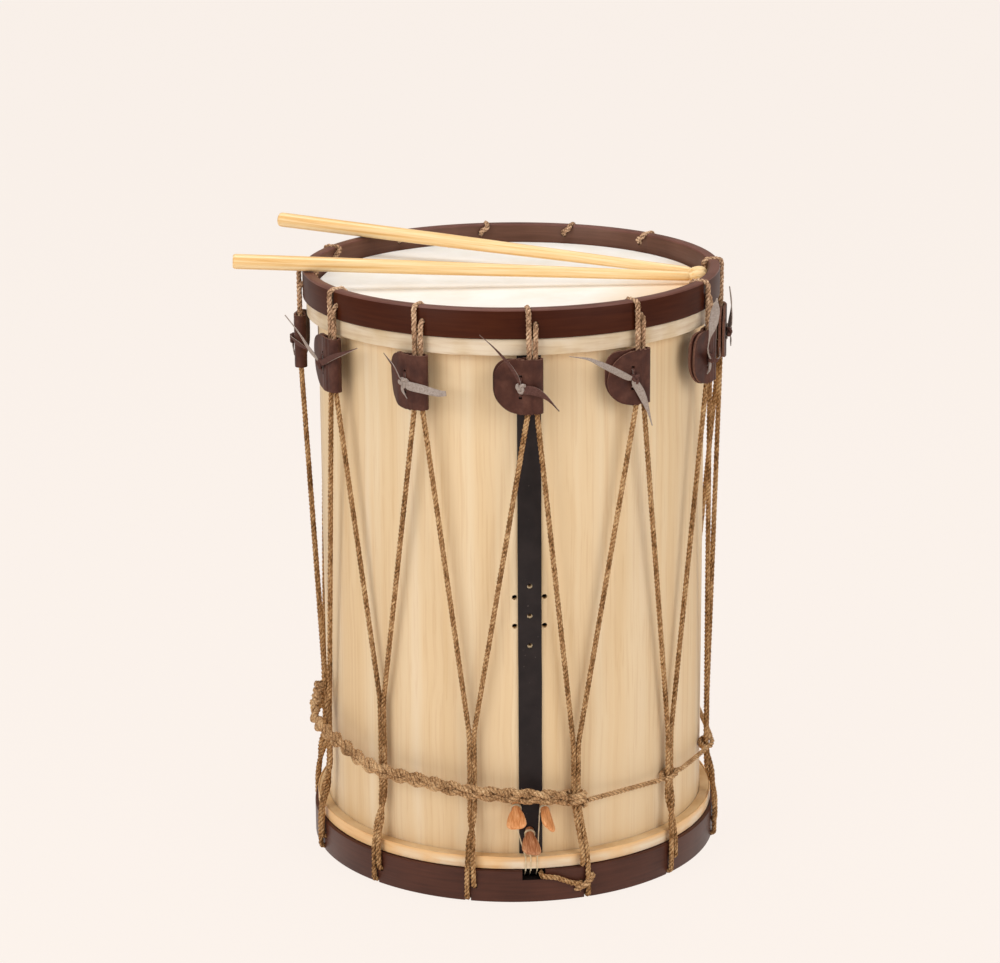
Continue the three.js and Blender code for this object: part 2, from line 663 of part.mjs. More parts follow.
// Rope round the lower end: it lies flat on each pair of strands and runs straight between them
function makeBelt() {
  const outside = pairRadius + ropeDiameter / 2 + 2 * gap + beltDiameter / 2;
  const half = THREE.MathUtils.radToDeg((strandPitch + slot) / 2 / pairRadius);
  const route = beltRoute.flatMap(([angle, z]) => [[angle - half, z], [angle + half, z]]);
  const points = route.map(([angle, z]) => around(angle, outside, z));
  add('belt_rope', tube(points, beltDiameter, cordSides), looks.rope);
}

function makeDrag() {
  const outside = pairRadius + ropeDiameter / 2 + 5 * gap + dragDiameter / 2;
  const halfway = 180 / lowerPairs.length;
  const points = dragRoute.map(([angle, z, nearer]) => {
    const apart = lowerPairs.map((pair) => Math.abs(((angle - pair.meets + 540) % 360) - 180));
    const fromPair = Math.cos((Math.PI * Math.min(...apart, halfway)) / halfway);
    return around(angle, outside - (dragSag * (1 - fromPair)) / 2 - nearer, z);
  });
  const curve = new THREE.CatmullRomCurve3(points);
  add('plaited_drag', tube(curve.getSpacedPoints(dragRuns), dragDiameter, cordSides), looks.rope);
}

// A stick that lies with its tip on the upper head and its shaft on the rim
function makeStick(stick) {
  const acorn = acornDiameter / 2;
  const neck = stickNeck / 2;
  const butt = stickButt / 2;
  const shaftStart = acornLength + neck;
  const swell = butt * shaftSwell.radius;
  const profile = [
    [0, 0], ...acornShape.map(([r, z]) => [acorn * r, acornLength * z]),
    [neck * neckGroove, acornLength], [neck, shaftStart], [swell, stick.length * shaftSwell.at],
    [butt, stick.length - butt], [butt * buttRound, stick.length], [0, stick.length],
  ];
  const body = new THREE.LatheGeometry(profile.map(([r, z]) => new THREE.Vector2(r, z)), 16);
  body.rotateX(Math.PI / 2);
  const tip = around(stick.tipAngle, hoopInside - stick.tipInset, 0);
  const run = new THREE.Vector2(Math.sin(radians(stick.heading)), -Math.cos(radians(stick.heading)));
  const ahead = tip.x * run.x + tip.y * run.y;
  const toRim = -ahead + Math.sqrt(ahead * ahead + hoopInside ** 2 - tip.lengthSq());
  const tipRest = acornLength * acornRest;
  const shaft = (toRim - shaftStart) / (stick.length * shaftSwell.at - shaftStart);
  const atRim = THREE.MathUtils.clamp(neck + (swell - neck) * shaft, neck, butt);
  const low = headTop + gap + acorn;
  const high = drumHeight + gap + atRim;
  const rise = Math.atan2(high - low, toRim - tipRest);
  body.rotateY(Math.PI / 2 - rise).rotateZ(Math.atan2(run.y, run.x));
  body.translate(tip.x, tip.y, low - tipRest * Math.sin(rise));
  add(`drumstick_${stick.place}`, body, looks.stick);
}

makeShell();
makeStrip();
makeHead('batter', topEdge, 1, topLapHeight);
makeHead('snare', bottomHoopHeight, -1, bottomLapHeight);
makeTopCounterhoop();
makeBottomCounterhoop();
makeTensionRope();
makeBelt();
makeDrag();
topAnchors.forEach((angle, k) => {
  const number = String(k + 1).padStart(2, '0');
  makeTug(`tug_${number}`, angle, tugBends[k]);
  makeLace(`lace_${number}`, angle, tailAngles[k % tailAngles.length]);
});
pegs.forEach(makePeg);
const windingGap = Math.min(...pegs.map(makeGut));
sticks.forEach(makeStick);

const middle = new THREE.Box3().setFromObject(drum).getCenter(new THREE.Vector3());
drum.children.forEach((piece) => piece.geometry.translate(-middle.x, -middle.y, 0));

console.log(`least gap in a snare winding ${windingGap.toFixed(2)} mm`);
console.log(`drum's axis at ${(-middle.x).toFixed(4)}, ${(-middle.y).toFixed(4)} mm`);

export default drum;
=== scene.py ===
# Renaissance side drum: the looks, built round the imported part.
# Blender counts in metres; the dictionaries hold millimetres and degrees about the drum's axis.
import math
import random

import bpy
from mathutils import Matrix, Vector, kdtree, noise


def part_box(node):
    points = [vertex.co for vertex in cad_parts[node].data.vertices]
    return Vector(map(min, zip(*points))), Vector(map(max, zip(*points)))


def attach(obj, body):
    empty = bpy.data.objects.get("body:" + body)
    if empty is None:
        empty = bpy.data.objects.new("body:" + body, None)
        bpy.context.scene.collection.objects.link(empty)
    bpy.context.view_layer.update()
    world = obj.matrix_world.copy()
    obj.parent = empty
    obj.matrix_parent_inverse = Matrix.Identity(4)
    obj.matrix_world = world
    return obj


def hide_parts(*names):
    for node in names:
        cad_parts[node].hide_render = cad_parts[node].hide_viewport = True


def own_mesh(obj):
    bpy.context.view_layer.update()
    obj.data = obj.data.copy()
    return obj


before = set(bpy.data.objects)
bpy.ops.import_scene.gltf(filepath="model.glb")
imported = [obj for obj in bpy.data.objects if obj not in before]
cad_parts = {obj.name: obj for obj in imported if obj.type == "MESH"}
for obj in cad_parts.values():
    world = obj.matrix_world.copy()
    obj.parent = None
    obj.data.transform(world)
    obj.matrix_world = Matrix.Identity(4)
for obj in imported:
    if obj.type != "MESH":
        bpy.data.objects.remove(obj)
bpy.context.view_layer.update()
mm = 0.001
hoopLow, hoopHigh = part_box("top_counterhoop")
drumAxis = Vector(((hoopLow.x + hoopHigh.x) / 2, (hoopLow.y + hoopHigh.y) / 2, 0))
chance = random.Random(11)
print("frame loaded with", len(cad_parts), "nodes")

# Camera, solved from the hoops' edges in the photograph, taken as 1000 x 963
view = {"place": (-10.43, -2478.18, 1025.24), "pitchDown": 0.2815, "roll": -0.007, "focal": 3057.26,
        "imageWidth": 1000, "sensor": 36}


def setCamera():
    lens = bpy.data.cameras.new("studioCamera")
    lens.sensor_width = view["sensor"]
    lens.lens = view["focal"] / view["imageWidth"] * view["sensor"]
    camera = bpy.data.objects.new("studioCamera", lens)
    bpy.context.scene.collection.objects.link(camera)
    turn = Matrix.Rotation(math.pi / 2 - view["pitchDown"], 4, "X") @ Matrix.Rotation(view["roll"], 4, "Z")
    camera.matrix_world = Matrix.Translation(Vector(view["place"]) * mm + drumAxis) @ turn
    bpy.context.scene.camera = camera


# sRGB hex to linear colour
def paint(code):
    parts = [int(code[i:i + 2], 16) / 255 for i in (1, 3, 5)]
    linear = [c / 12.92 if c <= 0.04045 else ((c + 0.055) / 1.055) ** 2.4 for c in parts]
    return (*linear, 1)


# Texture scale for a feature of this many millimetres
def perMm(size):
    return 1 / (size * mm)


# A source is a socket, or a node whose first output is meant
def linkTo(tree, node, links):
    for socket, source in links.items():
        output = source.outputs[0] if hasattr(source, "outputs") else source
        tree.links.new(output, node.inputs[socket])


# One shader node with its settings, values, links and, on a ramp, its stops
def addNode(tree, kind, settings=None, values=None, links=None, stops=()):
    node = tree.nodes.new("ShaderNode" + kind)
    for key, value in (settings or {}).items():
        setattr(node, key, value)
    for socket, value in (values or {}).items():
        node.inputs[socket].default_value = value
    linkTo(tree, node, links or {})
    for i, (position, code) in enumerate(stops):
        stop = node.color_ramp.elements[i] if i < 2 else node.color_ramp.elements.new(position)
        stop.position = position
        stop.color = paint(code)
    return node


# A material, and where its textures are read: the object's own coordinates, or an attribute of the piece
def startMaterial(name, roughness, attribute=None, specular=0.3):
    material = bpy.data.materials.new(name)
    material.use_nodes = True
    tree = material.node_tree
    surface = tree.nodes["Principled BSDF"]
    surface.inputs["Roughness"].default_value = roughness
    surface.inputs["Specular IOR Level"].default_value = specular
    if attribute:
        where = addNode(tree, "Attribute", {"attribute_name": attribute}).outputs["Vector"]
    else:
        where = addNode(tree, "TexCoord").outputs["Object"]
    return material, tree, surface, where


# Poplar, planed and bent, under thin varnish: pale cream with fine upright grain and a few warm bands
def planedPoplar():
    material, tree, surface, where = startMaterial("planedPoplar", 0.5)
    upright = addNode(tree, "Mapping", values={"Scale": (1, 1, 0.014)}, links={"Vector": where})
    wavy = addNode(tree, "TexNoise", values={"Scale": perMm(90), "Detail": 2}, links={"Vector": where})
    bent = addNode(tree, "MixRGB", {"blend_type": "ADD"}, {"Fac": 0.006},
                   {"Color1": upright, "Color2": wavy.outputs["Color"]})
    bands = addNode(tree, "TexNoise", values={"Scale": perMm(16), "Detail": 3, "Roughness": 0.55},
                    links={"Vector": bent})
    fine = addNode(tree, "TexNoise", values={"Scale": perMm(2.4), "Detail": 3, "Roughness": 0.6},
                   links={"Vector": bent})
    broad = addNode(tree, "ValToRGB", links={"Fac": bands},
                    stops=[(0.3, "#e3c89e"), (0.68, "#ecd9ba"), (0.47, "#e8d0aa"), (0.57, "#ead5b2")])
    lines = addNode(tree, "ValToRGB", links={"Fac": fine}, stops=[(0.36, "#d8ba8e"), (0.5, "#ffffff")])
    colour = addNode(tree, "MixRGB", {"blend_type": "MULTIPLY"}, {"Fac": 0.18},
                     {"Color1": broad, "Color2": lines})
    bump = addNode(tree, "Bump", values={"Strength": 0.12, "Distance": 0.2 * mm}, links={"Height": fine})
    linkTo(tree, surface, {"Base Color": colour, "Normal": bump})
    return material


# Ash bent to a hoop, stained dark and varnished: streaks run round it under a soft, uneven sheen
def stainedAsh(name, dark, pale, specular=0.2):
    material, tree, surface, where = startMaterial(name, 0.4, specular=specular)
    along = addNode(tree, "Mapping", values={"Scale": (0.05, 0.05, 1)}, links={"Vector": where})
    streak = addNode(tree, "TexNoise", values={"Scale": perMm(2.2), "Detail": 4, "Roughness": 0.6},
                     links={"Vector": along})
    patch = addNode(tree, "TexNoise", values={"Scale": perMm(45), "Detail": 3}, links={"Vector": where})
    grain = addNode(tree, "ValToRGB", links={"Fac": streak}, stops=[(0.3, dark), (0.7, pale)])
    worn = addNode(tree, "ValToRGB", links={"Fac": patch}, stops=[(0.35, pale), (0.65, dark)])
    colour = addNode(tree, "MixRGB", values={"Fac": 0.45}, links={"Color1": grain, "Color2": worn})
    gloss = addNode(tree, "MapRange", values={"To Min": 0.34, "To Max": 0.5}, links={"Value": patch})
    bump = addNode(tree, "Bump", values={"Strength": 0.16, "Distance": 0.2 * mm}, links={"Height": streak})
    linkTo(tree, surface, {"Base Color": colour, "Roughness": gloss, "Normal": bump})
    return material


# Goat skin, scraped and dried under tension: chalky white, faintly clouded, with pores, and a painted warm
# shade towards the front right, where the hoop shades it
def scrapedGoatskin():
    material, tree, surface, where = startMaterial("scrapedGoatskin", 0.55)
    cloud = addNode(tree, "TexNoise", values={"Scale": perMm(38), "Detail": 4, "Roughness": 0.6},
                    links={"Vector": where})
    pores = addNode(tree, "TexNoise", values={"Scale": perMm(1.6), "Detail": 2}, links={"Vector": where})
    chalk = addNode(tree, "ValToRGB", links={"Fac": cloud}, stops=[(0.3, "#f4f1ea"), (0.62, "#fbfbf9")])
    # Painted shade: a warm, darker tint rising towards the front right of the head, for the hoop's shadow
    # with a warm reflection
    hoopShadeSide = addNode(tree, "VectorMath", {"operation": "DOT_PRODUCT"}, {1: (0.9, -0.43, 0)}, {0: where})
    warm = addNode(tree, "MapRange", values={"From Min": 0.095, "From Max": 0.165, "To Max": 0.85},
                   links={"Value": hoopShadeSide.outputs["Value"]})
    colour = addNode(tree, "MixRGB", values={"Color2": paint("#ecc388")},
                     links={"Fac": warm, "Color1": chalk})
    bump = addNode(tree, "Bump", values={"Strength": 0.1, "Distance": 0.15 * mm}, links={"Height": pores})
    linkTo(tree, surface, {"Base Color": colour, "Normal": bump})
    return material


# The same skin lapped wet round its flesh hoop: the wood shows warm through it, with streaks round the hoop,
# and it may be warmer still along an edge or on one side, between two places on an axis
def skinOverHoop(name, pale, warm, deep, edge=None):
    material, tree, surface, where = startMaterial(name, 0.42)
    along = addNode(tree, "Mapping", values={"Scale": (0.08, 0.08, 1)}, links={"Vector": where})
    streak = addNode(tree, "TexNoise", values={"Scale": perMm(3), "Detail": 3, "Roughness": 0.55},
                     links={"Vector": along})
    cloud = addNode(tree, "TexNoise", values={"Scale": perMm(30), "Detail": 3}, links={"Vector": where})
    tone = addNode(tree, "ValToRGB", links={"Fac": cloud}, stops=[(0.34, warm), (0.64, pale)])
    if edge:
        place = addNode(tree, "SeparateXYZ", links={"Vector": where})
        ramps = [addNode(tree, "MapRange", values={"From Min": start * mm, "From Max": end * mm},
                         links={"Value": place.outputs[axis]}) for axis, (start, end) in edge.items()]
        most = addNode(tree, "Math", {"operation": "MAXIMUM"}, links={0: ramps[0], 1: ramps[1]})
        tone = addNode(tree, "MixRGB", values={"Color2": paint(warm)}, links={"Fac": most, "Color1": tone})
    lines = addNode(tree, "ValToRGB", links={"Fac": streak}, stops=[(0.3, deep), (0.55, "#ffffff")])
    colour = addNode(tree, "MixRGB", {"blend_type": "MULTIPLY"}, {"Fac": 0.4},
                     {"Color1": tone, "Color2": lines})
    bump = addNode(tree, "Bump", values={"Strength": 0.15, "Distance": 0.3 * mm}, links={"Height": streak})
    linkTo(tree, surface, {"Base Color": colour, "Normal": bump})
    return material


# Jute, hard laid in three plies: dull brown, patchy along its length, with painted shade in the grooves
# between the plies
def laidJute(name, dark, middle, pale, stretch):
    material, tree, surface, where = startMaterial(name, 0.92, specular=0.1)
    along = addNode(tree, "Mapping", values={"Scale": (1, 1, stretch)}, links={"Vector": where})
    fibre = addNode(tree, "TexNoise", values={"Scale": perMm(1.1), "Detail": 3, "Roughness": 0.7},
                    links={"Vector": along})
    patch = addNode(tree, "TexNoise", values={"Scale": perMm(14), "Detail": 2}, links={"Vector": where})
    spread = addNode(tree, "MixRGB", values={"Fac": 0.3}, links={"Color1": fibre, "Color2": patch})
    tone = addNode(tree, "ValToRGB", links={"Fac": spread}, stops=[(0.4, dark), (0.62, pale), (0.5, middle)])
    # Painted shade: darker where the surface lies near the rope's middle, in the grooves between plies
    crown = addNode(tree, "Attribute", {"attribute_name": "crown"})
    groove = addNode(tree, "ValToRGB", links={"Fac": crown.outputs["Fac"]},
                     stops=[(0.42, "#5c4736"), (0.92, "#ffffff")])
    colour = addNode(tree, "MixRGB", {"blend_type": "MULTIPLY"}, {"Fac": 0.9},
                     {"Color1": tone, "Color2": groove})
    bump = addNode(tree, "Bump", values={"Strength": 0.5, "Distance": 0.4 * mm}, links={"Height": fibre})
    linkTo(tree, surface, {"Base Color": colour, "Normal": bump})
    return material


# Cowhide, dyed and pressed smooth: dark red-brown, fine pebble grain, cloudy wear and a satin face
def dyedCowhide():
    material, tree, surface, where = startMaterial("dyedCowhide", 0.48, specular=0.22)
    pebble = addNode(tree, "TexVoronoi", values={"Scale": perMm(1.1)}, links={"Vector": where})
    worn = addNode(tree, "TexNoise", values={"Scale": perMm(11), "Detail": 4, "Roughness": 0.6},
                   links={"Vector": where})
    colour = addNode(tree, "ValToRGB", links={"Fac": worn},
                     stops=[(0.3, "#3c1f19"), (0.72, "#5f3c31"), (0.5, "#4c2b22")])
    gloss = addNode(tree, "MapRange", values={"To Min": 0.38, "To Max": 0.62}, links={"Value": worn})
    bump = addNode(tree, "Bump", values={"Strength": 0.22, "Distance": 0.25 * mm}, links={"Height": pebble})
    linkTo(tree, surface, {"Base Color": colour, "Roughness": gloss, "Normal": bump})
    return material


# A raw or suede face of leather: dry, without gloss, with a short nap
def rawLeather(name, dark, pale):
    material, tree, surface, where = startMaterial(name, 0.85, specular=0.15)
    nap = addNode(tree, "TexNoise", values={"Scale": perMm(1.3), "Detail": 4, "Roughness": 0.7},
                  links={"Vector": where})
    colour = addNode(tree, "ValToRGB", links={"Fac": nap}, stops=[(0.3, dark), (0.68, pale)])
    bump = addNode(tree, "Bump", values={"Strength": 0.35, "Distance": 0.25 * mm}, links={"Height": nap})
    linkTo(tree, surface, {"Base Color": colour, "Normal": bump})
    return material


# Thin black leather, glued down: nearly black, fine grain, with a few pale scuffs and specks of dust
def blackStrap():
    material, tree, surface, where = startMaterial("blackStrap", 0.55, specular=0.2)
    grain = addNode(tree, "TexVoronoi", values={"Scale": perMm(0.9)}, links={"Vector": where})
    cloud = addNode(tree, "TexNoise", values={"Scale": perMm(20), "Detail": 4}, links={"Vector": where})
    dust = addNode(tree, "TexNoise", values={"Scale": perMm(2.2), "Detail": 1}, links={"Vector": where})
    base = addNode(tree, "ValToRGB", links={"Fac": cloud}, stops=[(0.3, "#1f191a"), (0.7, "#2c2525")])
    specks = addNode(tree, "ValToRGB", links={"Fac": dust}, stops=[(0.74, "#000000"), (0.8, "#6a625e")])
    colour = addNode(tree, "MixRGB", {"blend_type": "ADD"}, {"Fac": 0.5}, {"Color1": base, "Color2": specks})
    bump = addNode(tree, "Bump", values={"Strength": 0.2, "Distance": 0.2 * mm}, links={"Height": grain})
    linkTo(tree, surface, {"Base Color": colour, "Normal": bump})
    return material


# Wood worked along its own length: the grain follows the piece, read from its attribute
def turnedWood(name, roughness, dark, middle, pale, lineWidth, stretch):
    material, tree, surface, where = startMaterial(name, roughness, "grain")
    along = addNode(tree, "Mapping", values={"Scale": (1, 1, stretch)}, links={"Vector": where})
    lines = addNode(tree, "TexNoise", links={"Vector": along},
                    values={"Scale": perMm(lineWidth), "Detail": 4, "Roughness": 0.6, "Distortion": 0.4})
    colour = addNode(tree, "ValToRGB", links={"Fac": lines},
                     stops=[(0.3, dark), (0.66, pale), (0.47, middle)])
    bump = addNode(tree, "Bump", values={"Strength": 0.1, "Distance": 0.2 * mm}, links={"Height": lines})
    linkTo(tree, surface, {"Base Color": colour, "Normal": bump})
    return material


# Sheep gut, twisted and dried: a pale, slightly glassy cord
def twistedGut():
    material, tree, surface, where = startMaterial("twistedGut", 0.35)
    cloud = addNode(tree, "TexNoise", values={"Scale": perMm(3), "Detail": 3}, links={"Vector": where})
    colour = addNode(tree, "ValToRGB", links={"Fac": cloud}, stops=[(0.3, "#c6b38c"), (0.7, "#e8dcc2")])
    linkTo(tree, surface, {"Base Color": colour})
    return material


poplar = planedPoplar()
hoopAsh = stainedAsh("stainedAsh", "#361409", "#4b2312", 0.1)
lowAsh = stainedAsh("stainedAshLow", "#402117", "#593225", 0.28)
# Painted light: a paler copy of the stained ash for the top hoop's upper faces, as lit from above
litTopAsh = stainedAsh("stainedAshPaintedLitTop", "#57362e", "#7b534a")
# A paler copy of the stained ash for the hoop's inward faces
insideAsh = stainedAsh("stainedAshInwardPaler", "#573a2e", "#6f4d3f")
goatskin = scrapedGoatskin()
topLap = skinOverHoop("goatskinTopLap", "#e4d6c0", "#d6c19e", "#cdb08a")
bottomLap = skinOverHoop("goatskinBottomLap", "#f1e1c8", "#f0c893", "#e8caa0",
                         {"Z": (33.5, 37.5), "X": (-50, -110)})
bareAsh = skinOverHoop("bareAshHoop", "#e8cba0", "#d9b684", "#c39a66")
jute = laidJute("laidJute", "#65482b", "#aa8056", "#d8b78a", 0.3)
# Painted light: a paler copy of the jute for the rope over the top hoop, which catches more light
litRimJute = laidJute("laidJuteRimPaintedLight", "#7a6048", "#bf987a", "#eaceae", 0.3)
plaitJute = laidJute("laidJutePale", "#806143", "#be966c", "#e4c69c", 0.8)
cowhide = dyedCowhide()
cutEdge = rawLeather("cutHideEdge", "#5d3c33", "#8d6a5c")
suede = rawLeather("laceSuede", "#8a7d76", "#b3a8a1")
laceFace = rawLeather("laceGrainSide", "#4c322d", "#664842")
strapBlack = blackStrap()
cherry = turnedWood("carvedCherry", 0.45, "#bd7040", "#dc955c", "#edb380", 1.6, 0.16)
# Painted shade: a browner copy of the cherry for the lower peg, which lies in shadow
shadedCherry = turnedWood("carvedCherryPaintedShade", 0.45, "#8f5836", "#b27650", "#cd9a72", 1.6, 0.16)
# Painted shade: a near-black leather colour for the gate's cut faces in the lower hoop and for the lower
# skin's collar behind them
paintedGateShade = rawLeather("paintedShadeGate", "#0f0908", "#1c1210")
maple = turnedWood("turnedMaple", 0.4, "#e0ad68", "#f1cd93", "#f9e0b2", 2.2, 0.02)
gut = twistedGut()
print("materials:", len(bpy.data.materials))


# A point in the frame of a station on the drum: to the side, out from the axis, and up
def onStation(angle, x, radius, z):
    t = math.radians(angle)
    return Vector((x * math.cos(t) + radius * math.sin(t), x * math.sin(t) - radius * math.cos(t), z))


def around(angle, radius, z):
    return onStation(angle, 0, radius, z)


def ease(t):
    t = min(max(t, 0), 1)
    return t * t * (3 - 2 * t)


# Points on a knot of three loops, about its middle
def knotLoops(count):
    turns = [2 * math.pi * i / count for i in range(count)]
    return [Vector((math.sin(t) + 2 * math.sin(2 * t), math.cos(t) - 2 * math.cos(2 * t), -math.sin(3 * t)))
            for t in turns]


def freshStart():
    if bpy.context.object and bpy.context.object.mode != "OBJECT":
        bpy.ops.object.mode_set(mode="OBJECT")
    bpy.ops.object.select_all(action="DESELECT")


def makeActive(piece):
    freshStart()
    piece.select_set(True)
    bpy.context.view_layer.objects.active = piece


def dress(piece, materials):
    piece.data.materials.clear()
    for material in materials:
        piece.data.materials.append(material)


def addModifier(piece, kind, **settings):
    modifier = piece.modifiers.new(kind.lower(), kind)
    for key, value in settings.items():
        setattr(modifier, key, value)


def applyModifiers(piece):
    makeActive(piece)
    for modifier in list(piece.modifiers):
        bpy.ops.object.modifier_apply(modifier=modifier.name)


def smooth(piece, degrees=35):
    makeActive(piece)
    bpy.ops.object.shade_smooth_by_angle(angle=math.radians(degrees))


def facesOutwards(piece):
    makeActive(piece)
    bpy.ops.object.mode_set(mode="EDIT")
    bpy.ops.mesh.select_all(action="SELECT")
    bpy.ops.mesh.remove_doubles(threshold=0.001 * mm)
    bpy.ops.mesh.normals_make_consistent(inside=False)
    bpy.ops.object.mode_set(mode="OBJECT")


def capEnds(piece):
    makeActive(piece)
    bpy.ops.object.mode_set(mode="EDIT")
    bpy.ops.mesh.select_all(action="DESELECT")
    bpy.ops.mesh.select_non_manifold()
    bpy.ops.mesh.edge_face_add()
    bpy.ops.object.mode_set(mode="OBJECT")
    facesOutwards(piece)


# A sheet given its thickness, with its cut edges rounded
def thicken(piece, thickness, rounding, segments, corner, **settings):
    addModifier(piece, "SOLIDIFY", thickness=thickness * mm, offset=0, **settings)
    addModifier(piece, "BEVEL", width=rounding * mm, segments=segments, limit_method="ANGLE",
                angle_limit=math.radians(corner))
    applyModifiers(piece)
    facesOutwards(piece)


# A circle, drawn out loop by loop along z: profile rows are radius and height
def turnLoops(name, profile, steps, *materials):
    freshStart()
    radius, height = profile[0]
    bpy.ops.mesh.primitive_circle_add(vertices=steps, radius=radius * mm, location=(0, 0, height * mm))
    piece = bpy.context.object
    piece.name = name
    bpy.ops.object.transform_apply(location=True, rotation=False, scale=False)
    bpy.ops.object.mode_set(mode="EDIT")
    bpy.ops.mesh.select_all(action="SELECT")
    for (r0, z0), (r1, z1) in zip(profile, profile[1:]):
        bpy.ops.mesh.extrude_region_move(TRANSFORM_OT_translate={"value": (0, 0, (z1 - z0) * mm)})
        bpy.ops.transform.resize(value=(r1 / r0, r1 / r0, 1), center_override=(0, 0, 0))
    bpy.ops.object.mode_set(mode="OBJECT")
    dress(piece, materials)
    facesOutwards(piece)
    return piece


# A grid laid on a surface: placeAt gives each point in millimetres for shares across and up
def layGrid(name, columns, rows, placeAt, *materials):
    freshStart()
    bpy.ops.mesh.primitive_grid_add(x_subdivisions=columns, y_subdivisions=rows, size=1)
    piece = bpy.context.object
    piece.name = name
    for vertex in piece.data.vertices:
        vertex.co = placeAt(vertex.co.x + 0.5, vertex.co.y + 0.5) * mm
    dress(piece, materials)
    return piece


def startTube(name, radius, roundness):
    curve = bpy.data.curves.new(name, "CURVE")
    curve.dimensions = "3D"
    curve.bevel_depth = radius * mm
    curve.bevel_resolution = roundness
    curve.use_fill_caps = True
    return curve


def addSpline(curve, points, radii=None, closed=False):
    spline = curve.splines.new("POLY")
    spline.points.add(len(points) - 1)
    for place, point, radius in zip(spline.points, points, radii or [1] * len(points)):
        place.co = (*(point * mm), 1)
        place.radius = radius
    spline.use_cyclic_u = closed


def finishTube(curve, material):
    tube = bpy.data.objects.new(curve.name, curve)
    bpy.context.scene.collection.objects.link(tube)
    makeActive(tube)
    bpy.ops.object.convert(target="MESH")
    tube = bpy.context.object
    dress(tube, [material])
    return tube


def joined(pieces, name):
    freshStart()
    for piece in pieces:
        piece.select_set(True)
    bpy.context.view_layer.objects.active = pieces[0]
    if len(pieces) > 1:
        bpy.ops.object.join()
    whole = bpy.context.object
    whole.name = name
    return whole


# Drill and mill, through a wall at a station. Reach is where the tool starts and ends, out from the axis
def drillAt(angle, x, z, diameter, reach, sides=24, slant=0):
    freshStart()
    middle = onStation(angle, x, (reach[0] + reach[1]) / 2, z) * mm
    bpy.ops.mesh.primitive_cylinder_add(vertices=sides, radius=diameter / 2 * mm,
                                        depth=(reach[1] - reach[0]) * mm, location=middle,
                                        rotation=(math.pi / 2 + slant, 0, math.radians(angle)))
    return bpy.context.object


def millAt(angle, width, height, z, reach, x=0):
    freshStart()
    middle = onStation(angle, x, (reach[0] + reach[1]) / 2, z) * mm
    bpy.ops.mesh.primitive_cube_add(size=1, location=middle, rotation=(0, 0, math.radians(angle)),
                                    scale=(width * mm, (reach[1] - reach[0]) * mm, height * mm))
    return bpy.context.object


def cutOut(piece, cutters):
    tool = joined(cutters, "cutter")
    addModifier(piece, "BOOLEAN", object=tool, solver="EXACT", use_self=True)
    applyModifiers(piece)
    bpy.data.objects.remove(tool)


# Last step of every piece: moved from the drum's axis to its place, carried by its body
def settle(piece, body, slotName, *nodes):
    piece.data.transform(Matrix.Translation(drumAxis))
    piece.data.name = piece.name
    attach(piece, body)
    if nodes:
        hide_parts(*nodes)


drum = {"height": 496.7, "hoopRadius": 172.5, "hoopInside": 163.8, "topEdge": 472.9, "bottomHoop": 27.7,
        "shellRadius": 160.3, "shellWall": 5, "headTop": 481.6, "lapRadius": 169.7, "topLap": 459.4,
        "bottomLap": 38.5, "strandRadius": 175.3, "pairRadius": 167.5, "innerRun": 161.0, "steps": 192}
throughHoop = (drum["hoopInside"] - 8, drum["hoopRadius"] + 8)
throughShell = (drum["shellRadius"] - 15, drum["shellRadius"] + 15)
throughTug = (drum["strandRadius"] - 9, drum["strandRadius"] + 9)
pegPlaces = [{"side": "left", "angle": 0.3, "z": 81.8, "turn": 6, "gutAt": -5},
             {"side": "right", "angle": 8.4, "z": 80.5, "turn": -48, "gutAt": 4.5},
             {"side": "lower", "angle": 4.1, "z": 59.2, "turn": -14, "gutAt": -0.8}]
pegFit = {"droop": math.radians(20), "hole": 7.6, "drill": 40}
topAngles = [5, 35, 65, 95, 136, 162.3, 188, 215, 245, 275, 305, 335]
# Lower pairs: angle on the hoop, then the angle and height where the two strands meet
lowerPairs = [(19, 17.2, 135), (48.8, 50, 126), (79, 78, 130), (114, 114, 134), (149, 149, 140),
              (175, 175, 136), (201.5, 201.5, 140), (230, 230, 134), (259, 259, 138), (290.5, 291.5, 130),
              (319, 319.7, 163), (347.8, 348, 147)]


# The lower groove is right of the first pair, where the rope starts, and left of the others
def grooveSide(pair):
    return 1 if pair == lowerPairs[0] else -1


shellCut = {"bearing": 2.3, "soft": 0.6, "shoulder": 1.2, "low": 20.1, "high": 480.5, "vent": 4.3,
            "underStrip": 3.2, "higher": 0.7, "stripAngle": 4.5, "stripVents": ((0, 218), (0, 243), (0, 268)),
            "sideVents": ((-12, 258.5), (12, 258.5), (-12, 234.3), (12, 234.3))}


# From a peg's own frame, along z out of the shell, to its place
def pegMatrix(place):
    lean = Matrix.Rotation(math.radians(place["angle"]), 4, "Z")
    lean = lean @ Matrix.Translation(Vector((0, -drum["shellRadius"], place["z"])) * mm)
    return lean @ Matrix.Rotation(math.pi / 2 + pegFit["droop"], 4, "X")


def pegDrills():
    drills = []
    for place in pegPlaces:
        freshStart()
        bpy.ops.mesh.primitive_cylinder_add(vertices=24, radius=pegFit["hole"] / 2 * mm,
                                            depth=pegFit["drill"] * mm)
        bpy.context.object.matrix_world = pegMatrix(place)
        drills.append(bpy.context.object)
    return drills


def ventDrills(vents, diameter, higher=0):
    return [drillAt(shellCut["stripAngle"], x, z + higher, diameter, throughShell) for x, z in vents]


